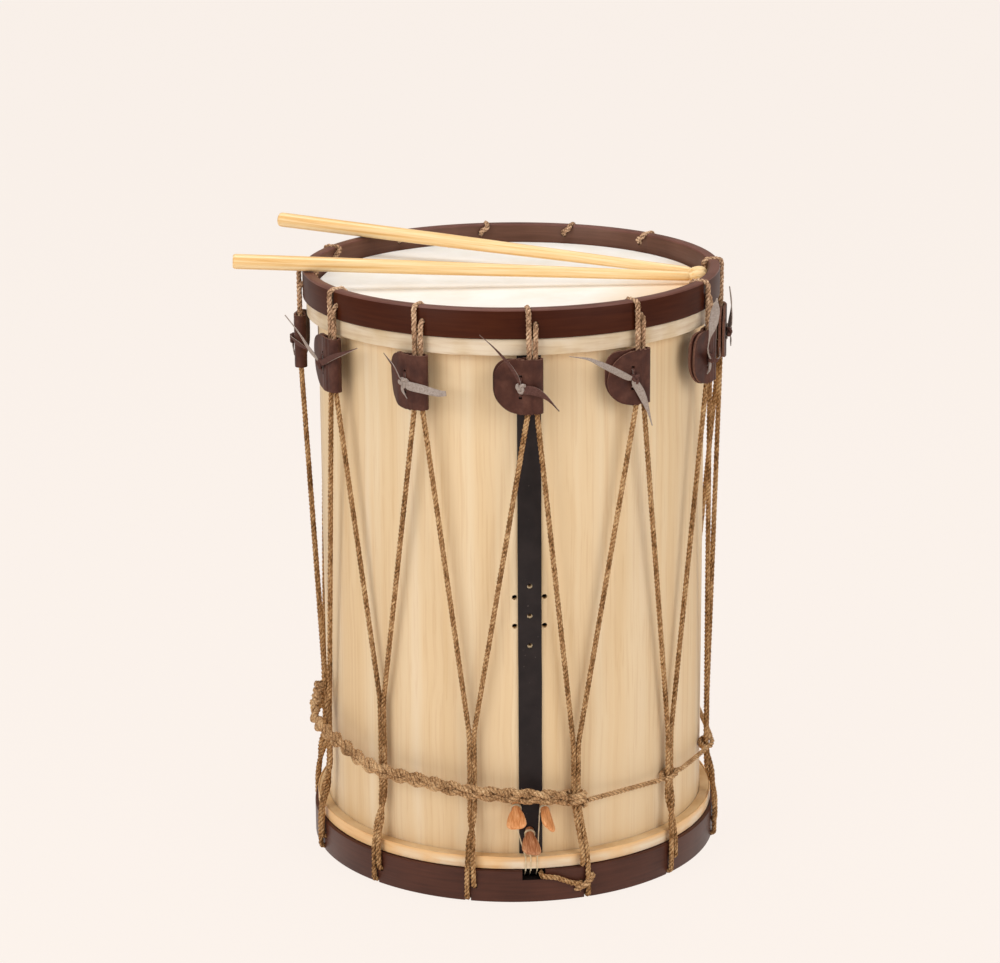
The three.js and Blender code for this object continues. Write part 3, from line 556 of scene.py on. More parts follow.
def makeShell():
    outside = drum["shellRadius"]
    inside = outside - drum["shellWall"]
    low = shellCut["low"]
    high = shellCut["high"]
    edge = shellCut["bearing"]
    soft = shellCut["soft"]
    shoulder = shellCut["shoulder"]
    profile = [(inside, low), (outside - edge, low), (outside - soft, low + edge),
               (outside, low + edge + shoulder), (outside, high - edge - shoulder),
               (outside - soft, high - edge), (outside - edge, high), (inside, high), (inside, low)]
    shell = turnLoops("bentShell", profile, drum["steps"], poplar)
    vents = ventDrills(shellCut["stripVents"], shellCut["underStrip"], shellCut["higher"])
    vents += ventDrills(shellCut["sideVents"], shellCut["vent"])
    cutOut(shell, vents + pegDrills())
    smooth(shell)
    settle(shell, "drum", "shell_wood", "shell")


strip = {"width": 19, "thickness": 1.5, "gap": 0.3, "low": 38.8, "high": 459.1, "vent": 4.4, "edge": 0.4,
         "waver": 0.25, "waverRun": 40, "columns": 8, "rows": 90}


def makeStrip():
    radius = drum["shellRadius"] + strip["gap"] + strip["thickness"] / 2

    def placeAt(across, up):
        z = strip["low"] + (strip["high"] - strip["low"]) * up
        waver = strip["waver"] * noise.noise(Vector((across * 3, 0, z / strip["waverRun"])))
        x = (across - 0.5) * strip["width"] + waver * (1 if across in (0, 1) else 0)
        return around(shellCut["stripAngle"] + math.degrees(x / radius), radius, z)

    band = layGrid("seamStrip", strip["columns"], strip["rows"], placeAt, strapBlack)
    thicken(band, strip["thickness"], strip["edge"], 2, 50)
    cutOut(band, ventDrills(shellCut["stripVents"], strip["vent"]) + pegDrills())
    smooth(band)
    settle(band, "drum", "strip_leather", "seam_strip")


skin = {"thickness": 0.8, "collar": 8.7, "gap": 1.1, "face": (140, 105, 70, 35, 10, 0),
        "trim": ((9, 0.35), (28, 0.5))}


# A skin: lap, collar and playing face in one sheet. Heights count up on the upper head and down on the lower
def makeSkin(name, node, edge, up, lapEnd, lapMaterial):
    collar = skin["collar"]
    lap = drum["lapRadius"]
    side = drum["shellRadius"] + skin["gap"]
    drop = abs(edge - lapEnd)
    rows = [(lap, -drop), (lap, -drop + 1), (lap, -drop / 2), (lap, -1.4), (lap - 0.3, -0.7),
            (lap - 1.1, -0.35), (side + 1.2, -0.3), (side + 0.2, 0), (side, 1), (side, collar - 3.4),
            (side - 0.5, collar - 1.9), (side - 1.6, collar - 0.6), (side - 3.4, collar)]
    rows += [(radius, collar) for radius in skin["face"]]
    profile = [(r, edge + up * h) for r, h in rows]
    piece = turnLoops(name, profile, drum["steps"], goatskin, lapMaterial, paintedGateShade)
    lapTop = (edge + up * -0.2) * mm
    for face in piece.data.polygons:
        face.material_index = 1 if (face.center.z - lapTop) * up < 0 else 0
        # Painted shade: the lower skin's collar, seen through the gate, takes the near-black third material
        collarSide = math.hypot(face.center.x, face.center.y) > (side - 1.2) * mm
        if up < 0 and collarSide and face.material_index == 0:
            face.material_index = 2
    for vertex in piece.data.vertices:
        if abs(vertex.co.z - lapEnd * mm) < 0.5 * mm:
            trim = sum(noise.noise(vertex.co / (size * mm)) * high for size, high in skin["trim"])
            vertex.co.z += up * trim * mm
    addModifier(piece, "SOLIDIFY", thickness=skin["thickness"] * mm, offset=-1)
    applyModifiers(piece)
    smooth(piece)
    settle(piece, "drum", "drum_skin", node)


fleshHoop = {"gap": 0.3, "underLap": 1.1, "round": 0.8}


def makeFleshHoop(name, node, high, low):
    inside = drum["shellRadius"] + fleshHoop["gap"]
    outside = drum["lapRadius"] - fleshHoop["underLap"]
    soft = fleshHoop["round"]
    profile = [(inside, low), (outside - soft, low), (outside, low + soft), (outside, high - soft),
               (outside - soft, high), (inside, high), (inside, low)]
    hoop = turnLoops(name, profile, drum["steps"], bareAsh)
    smooth(hoop)
    settle(hoop, "drum", "flesh_wood", node)


# The rope's holes and grooves in the hoops, and its run inside a tug. The upper holes rise inwards
ropeSize = {"slot": 5.2, "pitch": 5.6, "overRim": 496.2, "topHole": 483.6, "topHoleInside": 489.4,
            "bottomHole": 14.0, "underEdge": 2.9, "bend": 1.92, "tugBottom": 414.5, "tugSpread": 7.0,
            "tugTop": 457, "tugPitch": 4.7}
gate = {"width": 19, "depth": 8, "angle": 5, "gutHoleZ": 14.9, "gutHole": 1.8}
# Hoop edges: a small bevel, the upper rim worn round, the lower rim rolled under. Rows are steps in from the
# side, then down from the top or up from the floor
hoopEdge = {"bevel": 0.7, "worn": [(0, 1.6), (0.4, 0.6), (1.4, 0)], "rolled": [(1, 0), (0.3, 0.4), (0, 1.2)]}


def makeTopHoop():
    outside = drum["hoopRadius"]
    inside = drum["hoopInside"]
    high = drum["height"]
    low = drum["topEdge"]
    bevel = hoopEdge["bevel"]
    profile = [(inside, low + bevel), (inside + bevel, low), (outside - bevel, low), (outside, low + bevel)]
    profile += [(outside - back, high - down) for back, down in hoopEdge["worn"]]
    profile += [(inside + back, high - down) for back, down in reversed(hoopEdge["worn"])]
    profile.append((inside, low + bevel))
    hoop = turnLoops("topCounterhoop", profile, drum["steps"], hoopAsh, litTopAsh, insideAsh)
    # Painted light: the upper faces take the paler copy, as lit from above
    for face in hoop.data.polygons:
        # Inward faces take the paler inward copy
        inwards = math.hypot(face.center.x, face.center.y) < (inside + 0.3) * mm
        face.material_index = 1 if face.center.z > (high - 1.2) * mm else 2 if inwards else 0
    half = ropeSize["pitch"] / 2
    middle = (ropeSize["topHole"] + ropeSize["topHoleInside"]) / 2
    across = drum["strandRadius"] - drum["innerRun"] - 2 * ropeSize["bend"]
    slant = math.atan2(ropeSize["topHoleInside"] - ropeSize["topHole"], across)
    drills = []
    for angle in topAngles:
        drills.append(drillAt(angle, -half, ropeSize["overRim"], ropeSize["slot"], throughHoop))
        drills.append(drillAt(angle, half, middle, ropeSize["slot"], throughHoop, slant=slant))
    cutOut(hoop, drills)
    smooth(hoop)
    settle(hoop, "drum", "hoop_wood", "top_counterhoop")


def makeBottomHoop():
    outside = drum["hoopRadius"]
    inside = drum["hoopInside"]
    high = drum["bottomHoop"]
    bevel = hoopEdge["bevel"]
    profile = [(inside, bevel), (inside + bevel, 0)]
    profile += [(outside - back, up) for back, up in hoopEdge["rolled"]]
    profile += [(outside, high - bevel), (outside - bevel, high), (inside + bevel, high),
                (inside, high - bevel), (inside, bevel)]
    hoop = turnLoops("bottomCounterhoop", profile, drum["steps"], lowAsh, paintedGateShade)
    slot = ropeSize["slot"]
    under = ropeSize["underEdge"]
    drills = []
    for pair in lowerPairs:
        angle = pair[0]
        x = ropeSize["pitch"] / 2 * grooveSide(pair)
        drills.append(drillAt(angle, x, under, slot, throughHoop))
        drills.append(millAt(angle, slot, 2 * under, 0, throughHoop, x))
        drills.append(drillAt(angle, -x, ropeSize["bottomHole"], slot, throughHoop))
    drills.append(millAt(gate["angle"], gate["width"], 2 * gate["depth"], high, throughHoop))
    rear = shellCut["stripAngle"] + 180
    for place in pegPlaces:
        drills.append(drillAt(rear, -place["gutAt"], gate["gutHoleZ"], gate["gutHole"], throughHoop, 12))
    cutOut(hoop, drills)
    # Painted shade: the gate's cut faces take the near-black second material
    for face in hoop.data.polygons:
        x = face.center.dot(onStation(gate["angle"], 1, 0, 0)) / mm
        out = face.center.dot(around(gate["angle"], 1, 0)) / mm
        cutFace = abs(x) < gate["width"] / 2 + 0.2 and inside + 0.9 < out < outside - 0.9
        face.material_index = 1 if cutFace and face.center.z > (high - gate["depth"] - 0.3) * mm else 0
    smooth(hoop)
    settle(hoop, "drum", "hoop_wood", "bottom_counterhoop")


makeShell()
makeStrip()
makeSkin("batterSkin", "batter_skin", drum["topEdge"], 1, drum["topLap"], topLap)
makeSkin("snareSkin", "snare_skin", drum["bottomHoop"], -1, drum["bottomLap"], bottomLap)
makeFleshHoop("topFleshHoop", "top_flesh_hoop", drum["topEdge"] - 1.4, drum["topLap"])
makeFleshHoop("bottomFleshHoop", "bottom_flesh_hoop", drum["bottomLap"], drum["bottomHoop"] + 1.4)
makeTopHoop()
makeBottomHoop()
print("shell, strip, heads and hoops done")


# Rope: three plies laid round a route, with loose fibres. Out is a ply's place, lay a full turn's length, and
# corner the reach of a bend
tensionCord = {"ply": 1.13, "out": 1.16, "lay": 11, "step": 1.2, "corner": 1.3, "hairs": 0.3,
               "hairLength": 3.2}
beltCord = {"ply": 1.08, "out": 1.12, "lay": 12, "step": 1.3, "corner": 2.2, "hairs": 0.25, "hairLength": 3}
plaitCord = {"ply": 1.4, "out": 1.3, "lay": 12, "step": 1.3, "corner": 1, "hairs": 1, "hairLength": 4.4}
cornerSteps = 4


# Corners eased by short curves. A route is a list of points, each with the name of the run that starts there
def roundCorners(route, reach):
    eased = [route[0]]
    for (before, name), (corner, nextName), (after, _) in zip(route, route[1:], route[2:]):
        cut = min(reach, (corner - before).length / 2, (after - corner).length / 2)
        start = corner + (before - corner).normalized() * cut
        end = corner + (after - corner).normalized() * cut
        for i in range(cornerSteps + 1):
            t = i / cornerSteps
            point = start * (1 - t) ** 2 + corner * 2 * t * (1 - t) + end * t ** 2
            eased.append((point, name if t < 0.5 else nextName))
    eased.append(route[-1])
    return eased


def evenSteps(route, step):
    placed = []
    spare = 0
    for (start, name), (end, _) in zip(route, route[1:]):
        length = (end - start).length
        at = spare
        while at < length:
            placed.append((start.lerp(end, at / length), name))
            at += step
        spare = at - length
    placed.append(route[-1])
    return placed


# Points with a frame carried along without twisting, and how far along each is
def carried(points):
    rows = []
    across = Vector((0.31, 0.17, 0.93))
    far = 0
    for i, point in enumerate(points):
        ahead = points[min(i + 1, len(points) - 1)] - points[max(i - 1, 0)]
        ahead.normalize()
        across = (across - ahead * across.dot(ahead)).normalized()
        if i:
            far += (point - points[i - 1]).length
        rows.append((point, ahead, across, ahead.cross(across), far))
    return rows


def ropeRuns(routes, corner, step):
    runs = []
    for route in routes:
        eased = evenSteps(roundCorners(route, corner), step)
        runs.append(carried([point for point, _ in eased]))
    return runs


# How far every point stands from the rope's middle, for the painted shade in the grooves between plies
def markGrooveShade(rope, runs, high):
    points = [row[0] for rows in runs for row in rows]
    middle = kdtree.KDTree(len(points))
    for i, point in enumerate(points):
        middle.insert(point, i)
    middle.balance()
    crown = rope.data.attributes.new("crown", "FLOAT", "POINT")
    for vertex, mark in zip(rope.data.vertices, crown.data):
        mark.value = min(middle.find(vertex.co / mm)[2] / high, 1)


def layRope(name, runs, cord, material):
    curve = startTube(name, cord["ply"], 1)
    for rows in runs:
        for ply in range(3):
            points = []
            for point, _, across, side, far in rows:
                turn = 2 * math.pi * (far / cord["lay"] + ply / 3)
                points.append(point + (across * math.cos(turn) + side * math.sin(turn)) * cord["out"])
            addSpline(curve, points)
        for point, ahead, across, side, _ in rows:
            if chance.random() < cord["hairs"]:
                turn = chance.uniform(0, 2 * math.pi)
                out = across * math.cos(turn) + side * math.sin(turn)
                lean = ahead * chance.uniform(-1, 1)
                start = point + out * (cord["out"] + cord["ply"] * 0.7)
                reach = cord["hairLength"] * chance.uniform(0.4, 1)
                middle = start + (out * 0.35 + lean * 0.7) * reach * 0.5
                end = middle + (out * chance.uniform(0.1, 0.5) + lean * 0.8) * reach * 0.5
                addSpline(curve, [start, middle, end], [0.08, 0.07, 0.03])
    rope = finishTube(curve, material)
    markGrooveShade(rope, runs, cord["out"] + cord["ply"])
    smooth(rope, 60)
    return rope


def topBend(angle):
    half = ropeSize["pitch"] / 2
    bend = ropeSize["bend"]
    over = ropeSize["overRim"]
    hole = ropeSize["topHole"]
    within = ropeSize["topHoleInside"]
    outer = drum["strandRadius"]
    inner = drum["innerRun"]
    rows = [(-half, outer, over - bend), (-half, outer - bend, over), (-half, inner + bend, over),
            (-half, inner, over - bend), (half, inner, within + bend), (half, inner + bend, within),
            (half, outer - bend, hole), (half, outer, hole - bend)]
    return [onStation(angle, *row) for row in rows]


def bottomBend(pair):
    out = ropeSize["pitch"] / 2 * grooveSide(pair)
    bend = ropeSize["bend"]
    hole = ropeSize["bottomHole"]
    under = ropeSize["underEdge"]
    outer = drum["strandRadius"]
    inner = drum["innerRun"]
    rows = [(-out, outer - bend, hole), (-out, inner + bend, hole), (-out, inner, hole - bend),
            (out, inner, under + bend), (out, inner + bend, under), (out, outer - bend, under),
            (out, outer, under + bend)]
    return [onStation(pair[0], *row) for row in rows]


# Below the meeting point the belt draws a pair in; lower down it leans out and its strands change sides
pairRun = {"drawnLow": 85, "edge": 28, "crossHigh": 80, "crossLow": 42, "across": 1.95, "step": 3,
           "wideTop": 0.4, "topRun": 8, "wideHoop": 0.5, "hoopRun": 12}


def pairPlace(pair, z, x, out):
    angle, meets, _ = pair
    lean = ease((pairRun["drawnLow"] - z) / (pairRun["drawnLow"] - pairRun["edge"]))
    down = min(max((pairRun["drawnLow"] - z) / (pairRun["drawnLow"] - pairRun["crossLow"]), 0), 1)
    radius = drum["pairRadius"] + (drum["strandRadius"] - drum["pairRadius"]) * lean
    return onStation(meets + (angle - meets) * down, x, radius + out, z)


def pairStrand(pair, side):
    rows = []
    z = pair[2]
    while z > pairRun["edge"]:
        nearTop = ease((z - pair[2] + pairRun["topRun"]) / pairRun["topRun"])
        nearHoop = ease((pairRun["crossLow"] - z) / pairRun["hoopRun"])
        across = pairRun["across"] + pairRun["wideTop"] * nearTop + pairRun["wideHoop"] * nearHoop
        turn = 0
        if grooveSide(pair) < 0:
            turn = math.pi * ease((pairRun["crossHigh"] - z) / (pairRun["crossHigh"] - pairRun["crossLow"]))
        rows.append(pairPlace(pair, z, side * across * math.cos(turn), side * across * math.sin(turn)))
        z -= pairRun["step"]
    return rows


# The tug may slide down its strands; inside the tug a strand overlaps the rope above
strandPull = {"slide": 40, "inside": 6, "overlap": 4}
# The rope's tail: where it leaves the gate, and how it lies on the hoop
ropeTail = {"leave": 7.18, "inside": 2.8, "proud": 0.3, "dip": 2}


def tensionRoute():
    outer = drum["strandRadius"]
    spread = ropeSize["tugSpread"] / 2
    close = ropeSize["tugPitch"] / 2
    half = ropeSize["pitch"] / 2
    low = ropeSize["bottomHole"]
    bend = ropeSize["bend"]
    top = ropeSize["tugTop"]
    entry = ropeSize["tugBottom"]
    hidden = entry + strandPull["inside"]
    gateZ = drum["bottomHoop"] - gate["depth"] / 2
    leave = ropeTail["leave"]
    proud = outer + ropeTail["proud"]
    dip = ropeTail["dip"]
    first = lowerPairs[0][0]
    tail = [around(leave, drum["hoopInside"] + ropeTail["inside"], gateZ), around(leave, proud, gateZ),
            around((2 * leave + first) / 3, proud, gateZ - dip),
            around((leave + 2 * first) / 3, proud, low + dip), onStation(first, -half - bend, proud, low)]
    inTug = ((-spread, entry), (-spread, hidden), (-close, top),
             (close, top), (spread, hidden), (spread, entry))
    route = [(point, "low") for point in tail]
    for k, pair in enumerate(lowerPairs):
        station = (k + 1) % len(lowerPairs)
        high = topAngles[station]
        following = lowerPairs[station]
        left = f"{station + 1:02d}_left"
        right = f"{station + 1:02d}_right"
        up = pairStrand(pair, 1)[::-1]
        spots = [onStation(high, x, outer, z) for x, z in inTug]
        route += [(point, "low") for point in bottomBend(pair) + up[:-1]]
        route += [(up[-1], left), (spots[0], left), (spots[1], "top"), (spots[2], "top")]
        route += [(point, "top") for point in topBend(high)]
        route += [(spots[3], "top"), (spots[4], right), (spots[5], right)]
        route += [(point, "low") for point in pairStrand(following, -1)]
        if station:
            route.append((onStation(following[0], half, outer, low + bend), "low"))
    return route


def makeTensionRope():
    route = evenSteps(roundCorners(tensionRoute(), tensionCord["corner"]), tensionCord["step"])
    rows = carried([point for point, _ in route])
    runs = {}
    start = 0
    for i in range(1, len(route) + 1):
        if i == len(route) or route[i][1] != route[start][1]:
            more = strandPull["overlap"] if route[start][1] == "top" else 0
            runs.setdefault(route[start][1], []).append(rows[start - more:i + 1 + more])
            start = i
    top = layRope("ropeOverTopHoop", runs.pop("top"), tensionCord, litRimJute)
    settle(top, "drum", "jute", "tension_rope")
    under = layRope("ropeUnderBottomHoop", runs.pop("low"), tensionCord, jute)
    settle(under, "drum", "jute")
    for name, strands in sorted(runs.items()):
        strand = layRope(f"ropeStrand_{name}", strands, tensionCord, jute)
        settle(strand, "drum", "jute")
        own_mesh(strand)
    print("tension rope:", round(rows[-1][4] / 1000, 2), "m in", len(runs) + 2, "pieces")


# Belt: a thin rope hitched round each pair in turn. Hitch rows are steps to the side, out and up
belt = {"heights": [86, 86, 90, 93, 95, 97, 99, 100], "start": (20, 174, 86),
        "hitch": [(-14, 2, -0.5), (-7, -2, 0), (-4.5, -4.8, 0.6), (4.5, -4.8, 1.8), (7.4, 0, 2.2),
                  (4.5, 4.8, 1.2), (-4.5, 4.8, -1.2), (-7.4, 0, -2.2), (-4.5, -4.8, -1.8), (4.5, -4.8, -0.6),
                  (7, -2, 0), (14, 2, 0.5)]}


def makeBelt():
    route = [(around(*belt["start"]), "belt")]
    for pair, z in zip(lowerPairs[1:], belt["heights"]):
        for x, out, lift in belt["hitch"]:
            route.append((pairPlace(pair, z + lift, x, out), "belt"))
    runs = ropeRuns([route], beltCord["corner"], beltCord["step"])
    piece = layRope("beltRope", runs, beltCord, plaitJute)
    settle(piece, "drum", "jute", "belt_rope")
    print("belt rope:", round(runs[0][-1][4] / 1000, 2), "m")


# Drag: spare rope plaited in three, along the lower end. Rows are angle, height and how much nearer the shell
drag = {"route": [(20, 88.5, 0), (4, 94, 0), (-12, 98, 0), (-26, 102, 0), (-40, 104, 0), (-52, 111.5, 0),
                  (-61, 116, 0), (-69, 119, 0), (-74, 124, 2.5), (-75.5, 133, 6.5), (-75, 145, 8.5)],
        "radius": 177.6, "sag": 1.5, "sagRun": 15, "pitch": 47, "across": 3.6, "deep": 2.1, "start": 14,
        "step": 2, "wander": 0.7, "wanderRun": 25, "wrapLow": 126, "wrapOut": 4.2, "wrapPitch": 5.6}
# The hitch of the drag on the first pair, and the tail's hitch on the lower hoop
knot = {"low": 80, "high": 92, "turns": 2.6, "steps": 14, "across": 7.2, "deep": 5.6, "out": 0.4,
        "slope": 1.5, "start": 0.6, "corner": 2}
ending = [(-6.5, 173.6, 9), (-6.8, 174.6, 10), (0, 178.4, 14.5), (6.8, 174.8, 19), (6, 173.4, 21)]


def wrapping(pair):
    rows = []
    count = int(knot["turns"] * knot["steps"])
    for i in range(count + 1):
        turn = 2 * math.pi * knot["turns"] * i / count + knot["start"]
        z = knot["low"] + (knot["high"] - knot["low"]) * i / count + knot["slope"] * math.cos(turn)
        out = knot["out"] + knot["deep"] * math.cos(turn)
        rows.append((pairPlace(pair, z, knot["across"] * math.sin(turn), out), "wrap"))
    return rows


def smoothRoute(points, count):
    whole = [points[0] * 2 - points[1]] + points + [points[-1] * 2 - points[-2]]
    rows = []
    for p0, p1, p2, p3 in zip(whole, whole[1:], whole[2:], whole[3:]):
        for i in range(count):
            t = i / count
            rows.append(0.5 * (2 * p1 + (p2 - p0) * t + (2 * p0 - 5 * p1 + 4 * p2 - p3) * t * t
                               + (3 * p1 - p0 - 3 * p2 + p3) * t ** 3))
    rows.append(points[-1])
    return rows


# The drag's middle line: it sags towards the shell between pairs, and starts left of the first hitch
def dragLine():
    points = []
    run = drag["sagRun"]
    for angle, z, nearer in drag["route"]:
        apart = min(min(abs((angle - meets + 180) % 360 - 180) for _, meets, _ in lowerPairs), run)
        sag = drag["sag"] * (1 - math.cos(math.pi * apart / run)) / 2
        points.append(around(angle, drag["radius"] - sag - nearer, z))
    middle = evenSteps([(point, "drag") for point in smoothRoute(points, 10)], drag["step"])
    slope = math.tan(math.radians(drag["start"]))
    return carried([point for point, _ in middle if point.x < slope * -point.y or point.y > 0])


def makeDrag():
    rows = dragLine()
    strands = []
    for i in range(3):
        strand = []
        for point, ahead, _, _, far in rows:
            outward = Vector((point.x, point.y, 0)).normalized()
            side = ahead.cross(outward).normalized()
            turn = 2 * math.pi * (far / drag["pitch"] + i / 3)
            wander = noise.noise(Vector((far / drag["wanderRun"], i * 7, 0))) * drag["wander"]
            swing = 1.5 * math.sin(turn) - 0.5 * math.sin(turn) ** 3
            strand.append((point + side * (drag["across"] * swing + wander)
                           + outward * drag["deep"] * math.sin(2 * turn), "plait"))
        strands.append(strand)
    runs = ropeRuns(strands, plaitCord["corner"], plaitCord["step"])
    plait = layRope("plaitedDrag", runs, plaitCord, plaitJute)
    settle(plait, "drum", "jute", "plaited_drag")
    coil = []
    for point, ahead, across, side, far in rows:
        if point.z > drag["wrapLow"]:
            for more in (0, drag["step"] / 2):
                turn = 2 * math.pi * (far + more) / drag["wrapPitch"]
                out = across * math.cos(turn) + side * math.sin(turn)
                coil.append((point + ahead * more + out * drag["wrapOut"], "wrap"))
    first = lowerPairs[0]
    wraps = [wrapping(first), [(onStation(first[0], *spot), "end") for spot in ending], coil]
    tie = layRope("ropeKnots", ropeRuns(wraps, knot["corner"], plaitCord["step"]), plaitCord, plaitJute)
    settle(tie, "drum", "jute")
    print("plaited drag:", round(rows[-1][4] / 1000, 2), "m long")


makeTensionRope()
makeBelt()
makeDrag()

# Tugs: a leather strap folded round the two strands, its flaps trimmed to a half-round and laced together
tug = {"top": 458.0, "bottom": 414.5, "left": -29.25, "foldCentre": 4.0, "foldWide": 3.65, "foldDeep": 3.9,
       "flapDeep": 1.3, "closeFrom": -14, "closeTo": -3.5, "leather": 2.0, "topRound": 14, "bottomRound": 20,
       "columns": 60, "rows": 26, "edge": 0.35, "lift": 1.0, "liftRun": 40, "ridge": 0.3, "peek": 1.6,
       "peekUp": 0.8, "loose": 14, "crumple": 0.3, "crumpleSize": 9, "bendFrom": -10.5, "bendRun": 8,
       "bends": [8, 24, 12, 14, 18, 10, 20, 12, 16, 24, 16, 44],
       "sloped": {2: 24, 8: 22}}
lace = {"x": -9.65, "span": 17.4, "width": 2.2, "thickness": 0.9, "edge": 0.2, "front": 4.4, "slit": 1.8,
        "slack": 0.5, "bandSteps": 8, "tuck": 5, "tuckFrom": 0.75, "waist": 0.25, "knot": 1.1,
        "knotRound": 1.4, "knotHigh": 1.1, "knotOut": 1.8, "tailOut": 1.4, "taper": 0.9, "palest": (1, 7, 12)}
# Lace ends, from the knot: steps to the right, up and out from the drum; then the widest place, and suede
# side out or not. A tail may have its own taper, and may end in a broad leaf that is turned by so much
tails = {1: [([(-2, 7, 8), (-6, 15, 11), (-13, 25, 13), (-22, 35, 12), (-32, 44, 9)], 2.6, False),
             ([(2.5, -1, 7), (10.6, -2, 10), (20, -7.7, 10), (30, -19.4, 6)], 6.8, False)],
         2: [([(-7, 2, 7), (-22, 10, 9), (-37, 18, 9), (-47, 23, 7), (-61, 26, 2)], 5.2, True),
             ([(-1, -2.6, 7), (4.6, -12, 8), (11.6, -26, 7), (18, -41, 5)], 6.4, True)],
         3: [([(-8, 2, 8), (-15, 9, 9), (-12, 18, 9), (-4, 29, 9), (1, 39, 9), (4, 48, 9)],
              7.6, True, 0.8, 1.25),
             ([(6, -4, 8), (12, -2, 9), (17, 4, 7)], 4, False),
             ([(-3, -9, 6), (-8, -12, 6)], 2.4, True)],
         4: [([(0, 8, 7), (1, 22, 8), (0, 38, 6)], 5.5, True),
             ([(3, -6, 8), (-4, -12, 7)], 3, True)],
         10: [([(6, 1, 7), (20, 1, 4), (36, 0, -2), (50, 0, -8)], 4.6, False),
              ([(-2, -8, 6), (-3, -16, 5)], 2.6, True)],
         11: [([(-8, 11, 11), (-16, 24, 16), (-26, 37, 22)], 3.4, True),
              ([(4, 1, 7), (22, 9.4, 8), (38, 16, 5), (50, 21.5, 2)], 4.8, False)],
         12: [([(-3, 2, 7), (-8, 13, 8), (-17, 22, 6)], 3.4, False),
              ([(5, -2, 7), (17, -3, 9), (32, -5, 9), (38, -4.7, 8)], 6.8, True, 0.4),
              ([(-1, -6, 6), (3, -13, 6)], 2.4, True)]}


# Centre of the leather across the fold: share 0 is the front flap's free edge and 1 the back flap's
def tugSection(share, left):
    side = 1 if share < 0.5 else -1
    t = share * 2 if share < 0.5 else (1 - share) * 2
    straight = tug["foldCentre"] - left
    arc = math.pi / 2 * (tug["foldWide"] + tug["foldDeep"]) / 2
    at = t * (straight + arc)
    if at <= straight:
        x = left + at
        closing = ease((x - tug["closeFrom"]) / (tug["closeTo"] - tug["closeFrom"]))
        ridge = tug["ridge"] * closing * math.cos(2 * math.pi * x / ropeSize["tugPitch"] + math.pi)
        return x, side * (tug["flapDeep"] + (tug["foldDeep"] - tug["flapDeep"]) * closing + ridge)
    turn = (at - straight) / arc * math.pi / 2
    return tug["foldCentre"] + tug["foldWide"] * math.sin(turn), side * tug["foldDeep"] * math.cos(turn)


# Past the lace the flaps bend towards the shell: x and depth after a bend in degrees
def bendFlap(x, deep, bend):
    far = tug["bendFrom"] - x
    if far <= 0:
        return x, deep
    whole = math.radians(bend)
    arc = min(far, tug["bendRun"])
    turn = whole * arc / tug["bendRun"]
    bow = tug["bendRun"] / whole
    along = bow * math.sin(turn) + (far - arc) * math.cos(turn)
    inwards = bow * (1 - math.cos(turn)) + (far - arc) * math.sin(turn)
    return tug["bendFrom"] - along - deep * math.sin(turn), deep * math.cos(turn) - inwards


# The flap's free edge at a height: straight, with a quarter-round at the top and at the bottom
def freeEdge(z, extra, topRound):
    bottomRound = tug["bottomRound"]
    above = (z - (tug["top"] - topRound)) / topRound
    below = ((tug["bottom"] + bottomRound) - z) / bottomRound
    inset = 0
    if above > 0:
        inset = topRound * (1 - math.sqrt(max(0, 1 - above * above)))
    if below > 0:
        inset = max(inset, bottomRound * (1 - math.sqrt(max(0, 1 - below * below))))
    return tug["left"] - extra + inset


def laceHeight(end):
    return (tug["top"] + tug["bottom"]) / 2 + end * lace["span"] / 2


def makeTug(number, angle):
    lift = tug["lift"] * chance.uniform(0.5, 1.3)
    seed = Vector((number * 3.7, 1, 2))

    def placeAt(across, up):
        z = tug["bottom"] + (tug["top"] - tug["bottom"]) * (0.5 + 0.5 * math.sin(math.pi * (up - 0.5)))
        front = across < 0.5
        slope = tug["sloped"].get(number, tug["topRound"]) if front else tug["topRound"]
        x, deep = tugSection(across, freeEdge(z, 0 if front else tug["peek"], slope))
        loose = ease((tug["closeFrom"] - x) / tug["loose"])
        if front:
            deep += lift * loose * ease((z - tug["bottom"]) / tug["liftRun"])
        size = tug["crumpleSize"]
        deep += tug["crumple"] * loose * noise.noise(Vector((x / size, z / size, across * 4)) + seed)
        z += (0 if front else tug["peekUp"]) * loose
        x, deep = bendFlap(x, deep, tug["bends"][number - 1])
        return onStation(angle, x, drum["strandRadius"] + deep, z)

    strap = layGrid(f"leatherTug_{number:02d}", tug["columns"], tug["rows"], placeAt, cowhide, cutEdge)
    thicken(strap, tug["leather"], tug["edge"], 2, 60, material_offset_rim=1)
    width = lace["width"] + lace["slack"]
    slits = [millAt(angle, width, lace["slit"], laceHeight(end), throughTug, lace["x"]) for end in (-1, 1)]
    cutOut(strap, slits)
    smooth(strap, 40)
    settle(strap, f"tug_{number:02d}", "tug_leather", f"tug_{number:02d}")


# One ribbon of lace: a row of points with a width and a twist for each
def makeRibbon(name, angle, rows, face, back):
    spots = [onStation(angle, x, drum["strandRadius"] + out, z) for x, out, z, _, _ in rows]
    framed = carried(spots)
    outward = around(angle, 1, 0)

    def placeAt(along, across):
        at = along * (len(rows) - 1)
        i = min(int(at), len(rows) - 2)
        t = at - i
        point = spots[i].lerp(spots[i + 1], t)
        ahead = framed[i][1].lerp(framed[i + 1][1], t).normalized()
        width = rows[i][3] * (1 - t) + rows[i + 1][3] * t
        twist = rows[i][4] * (1 - t) + rows[i + 1][4] * t
        flat = ahead.cross(outward).normalized()
        up = flat.cross(ahead)
        return point + (flat * math.cos(twist) + up * math.sin(twist)) * width * (across - 0.5)

    ribbon = layGrid(name, 3 * len(rows), 4, placeAt, face, back)
    thicken(ribbon, lace["thickness"], lace["edge"], 1, 60, material_offset=1)
    smooth(ribbon, 50)
    return ribbon


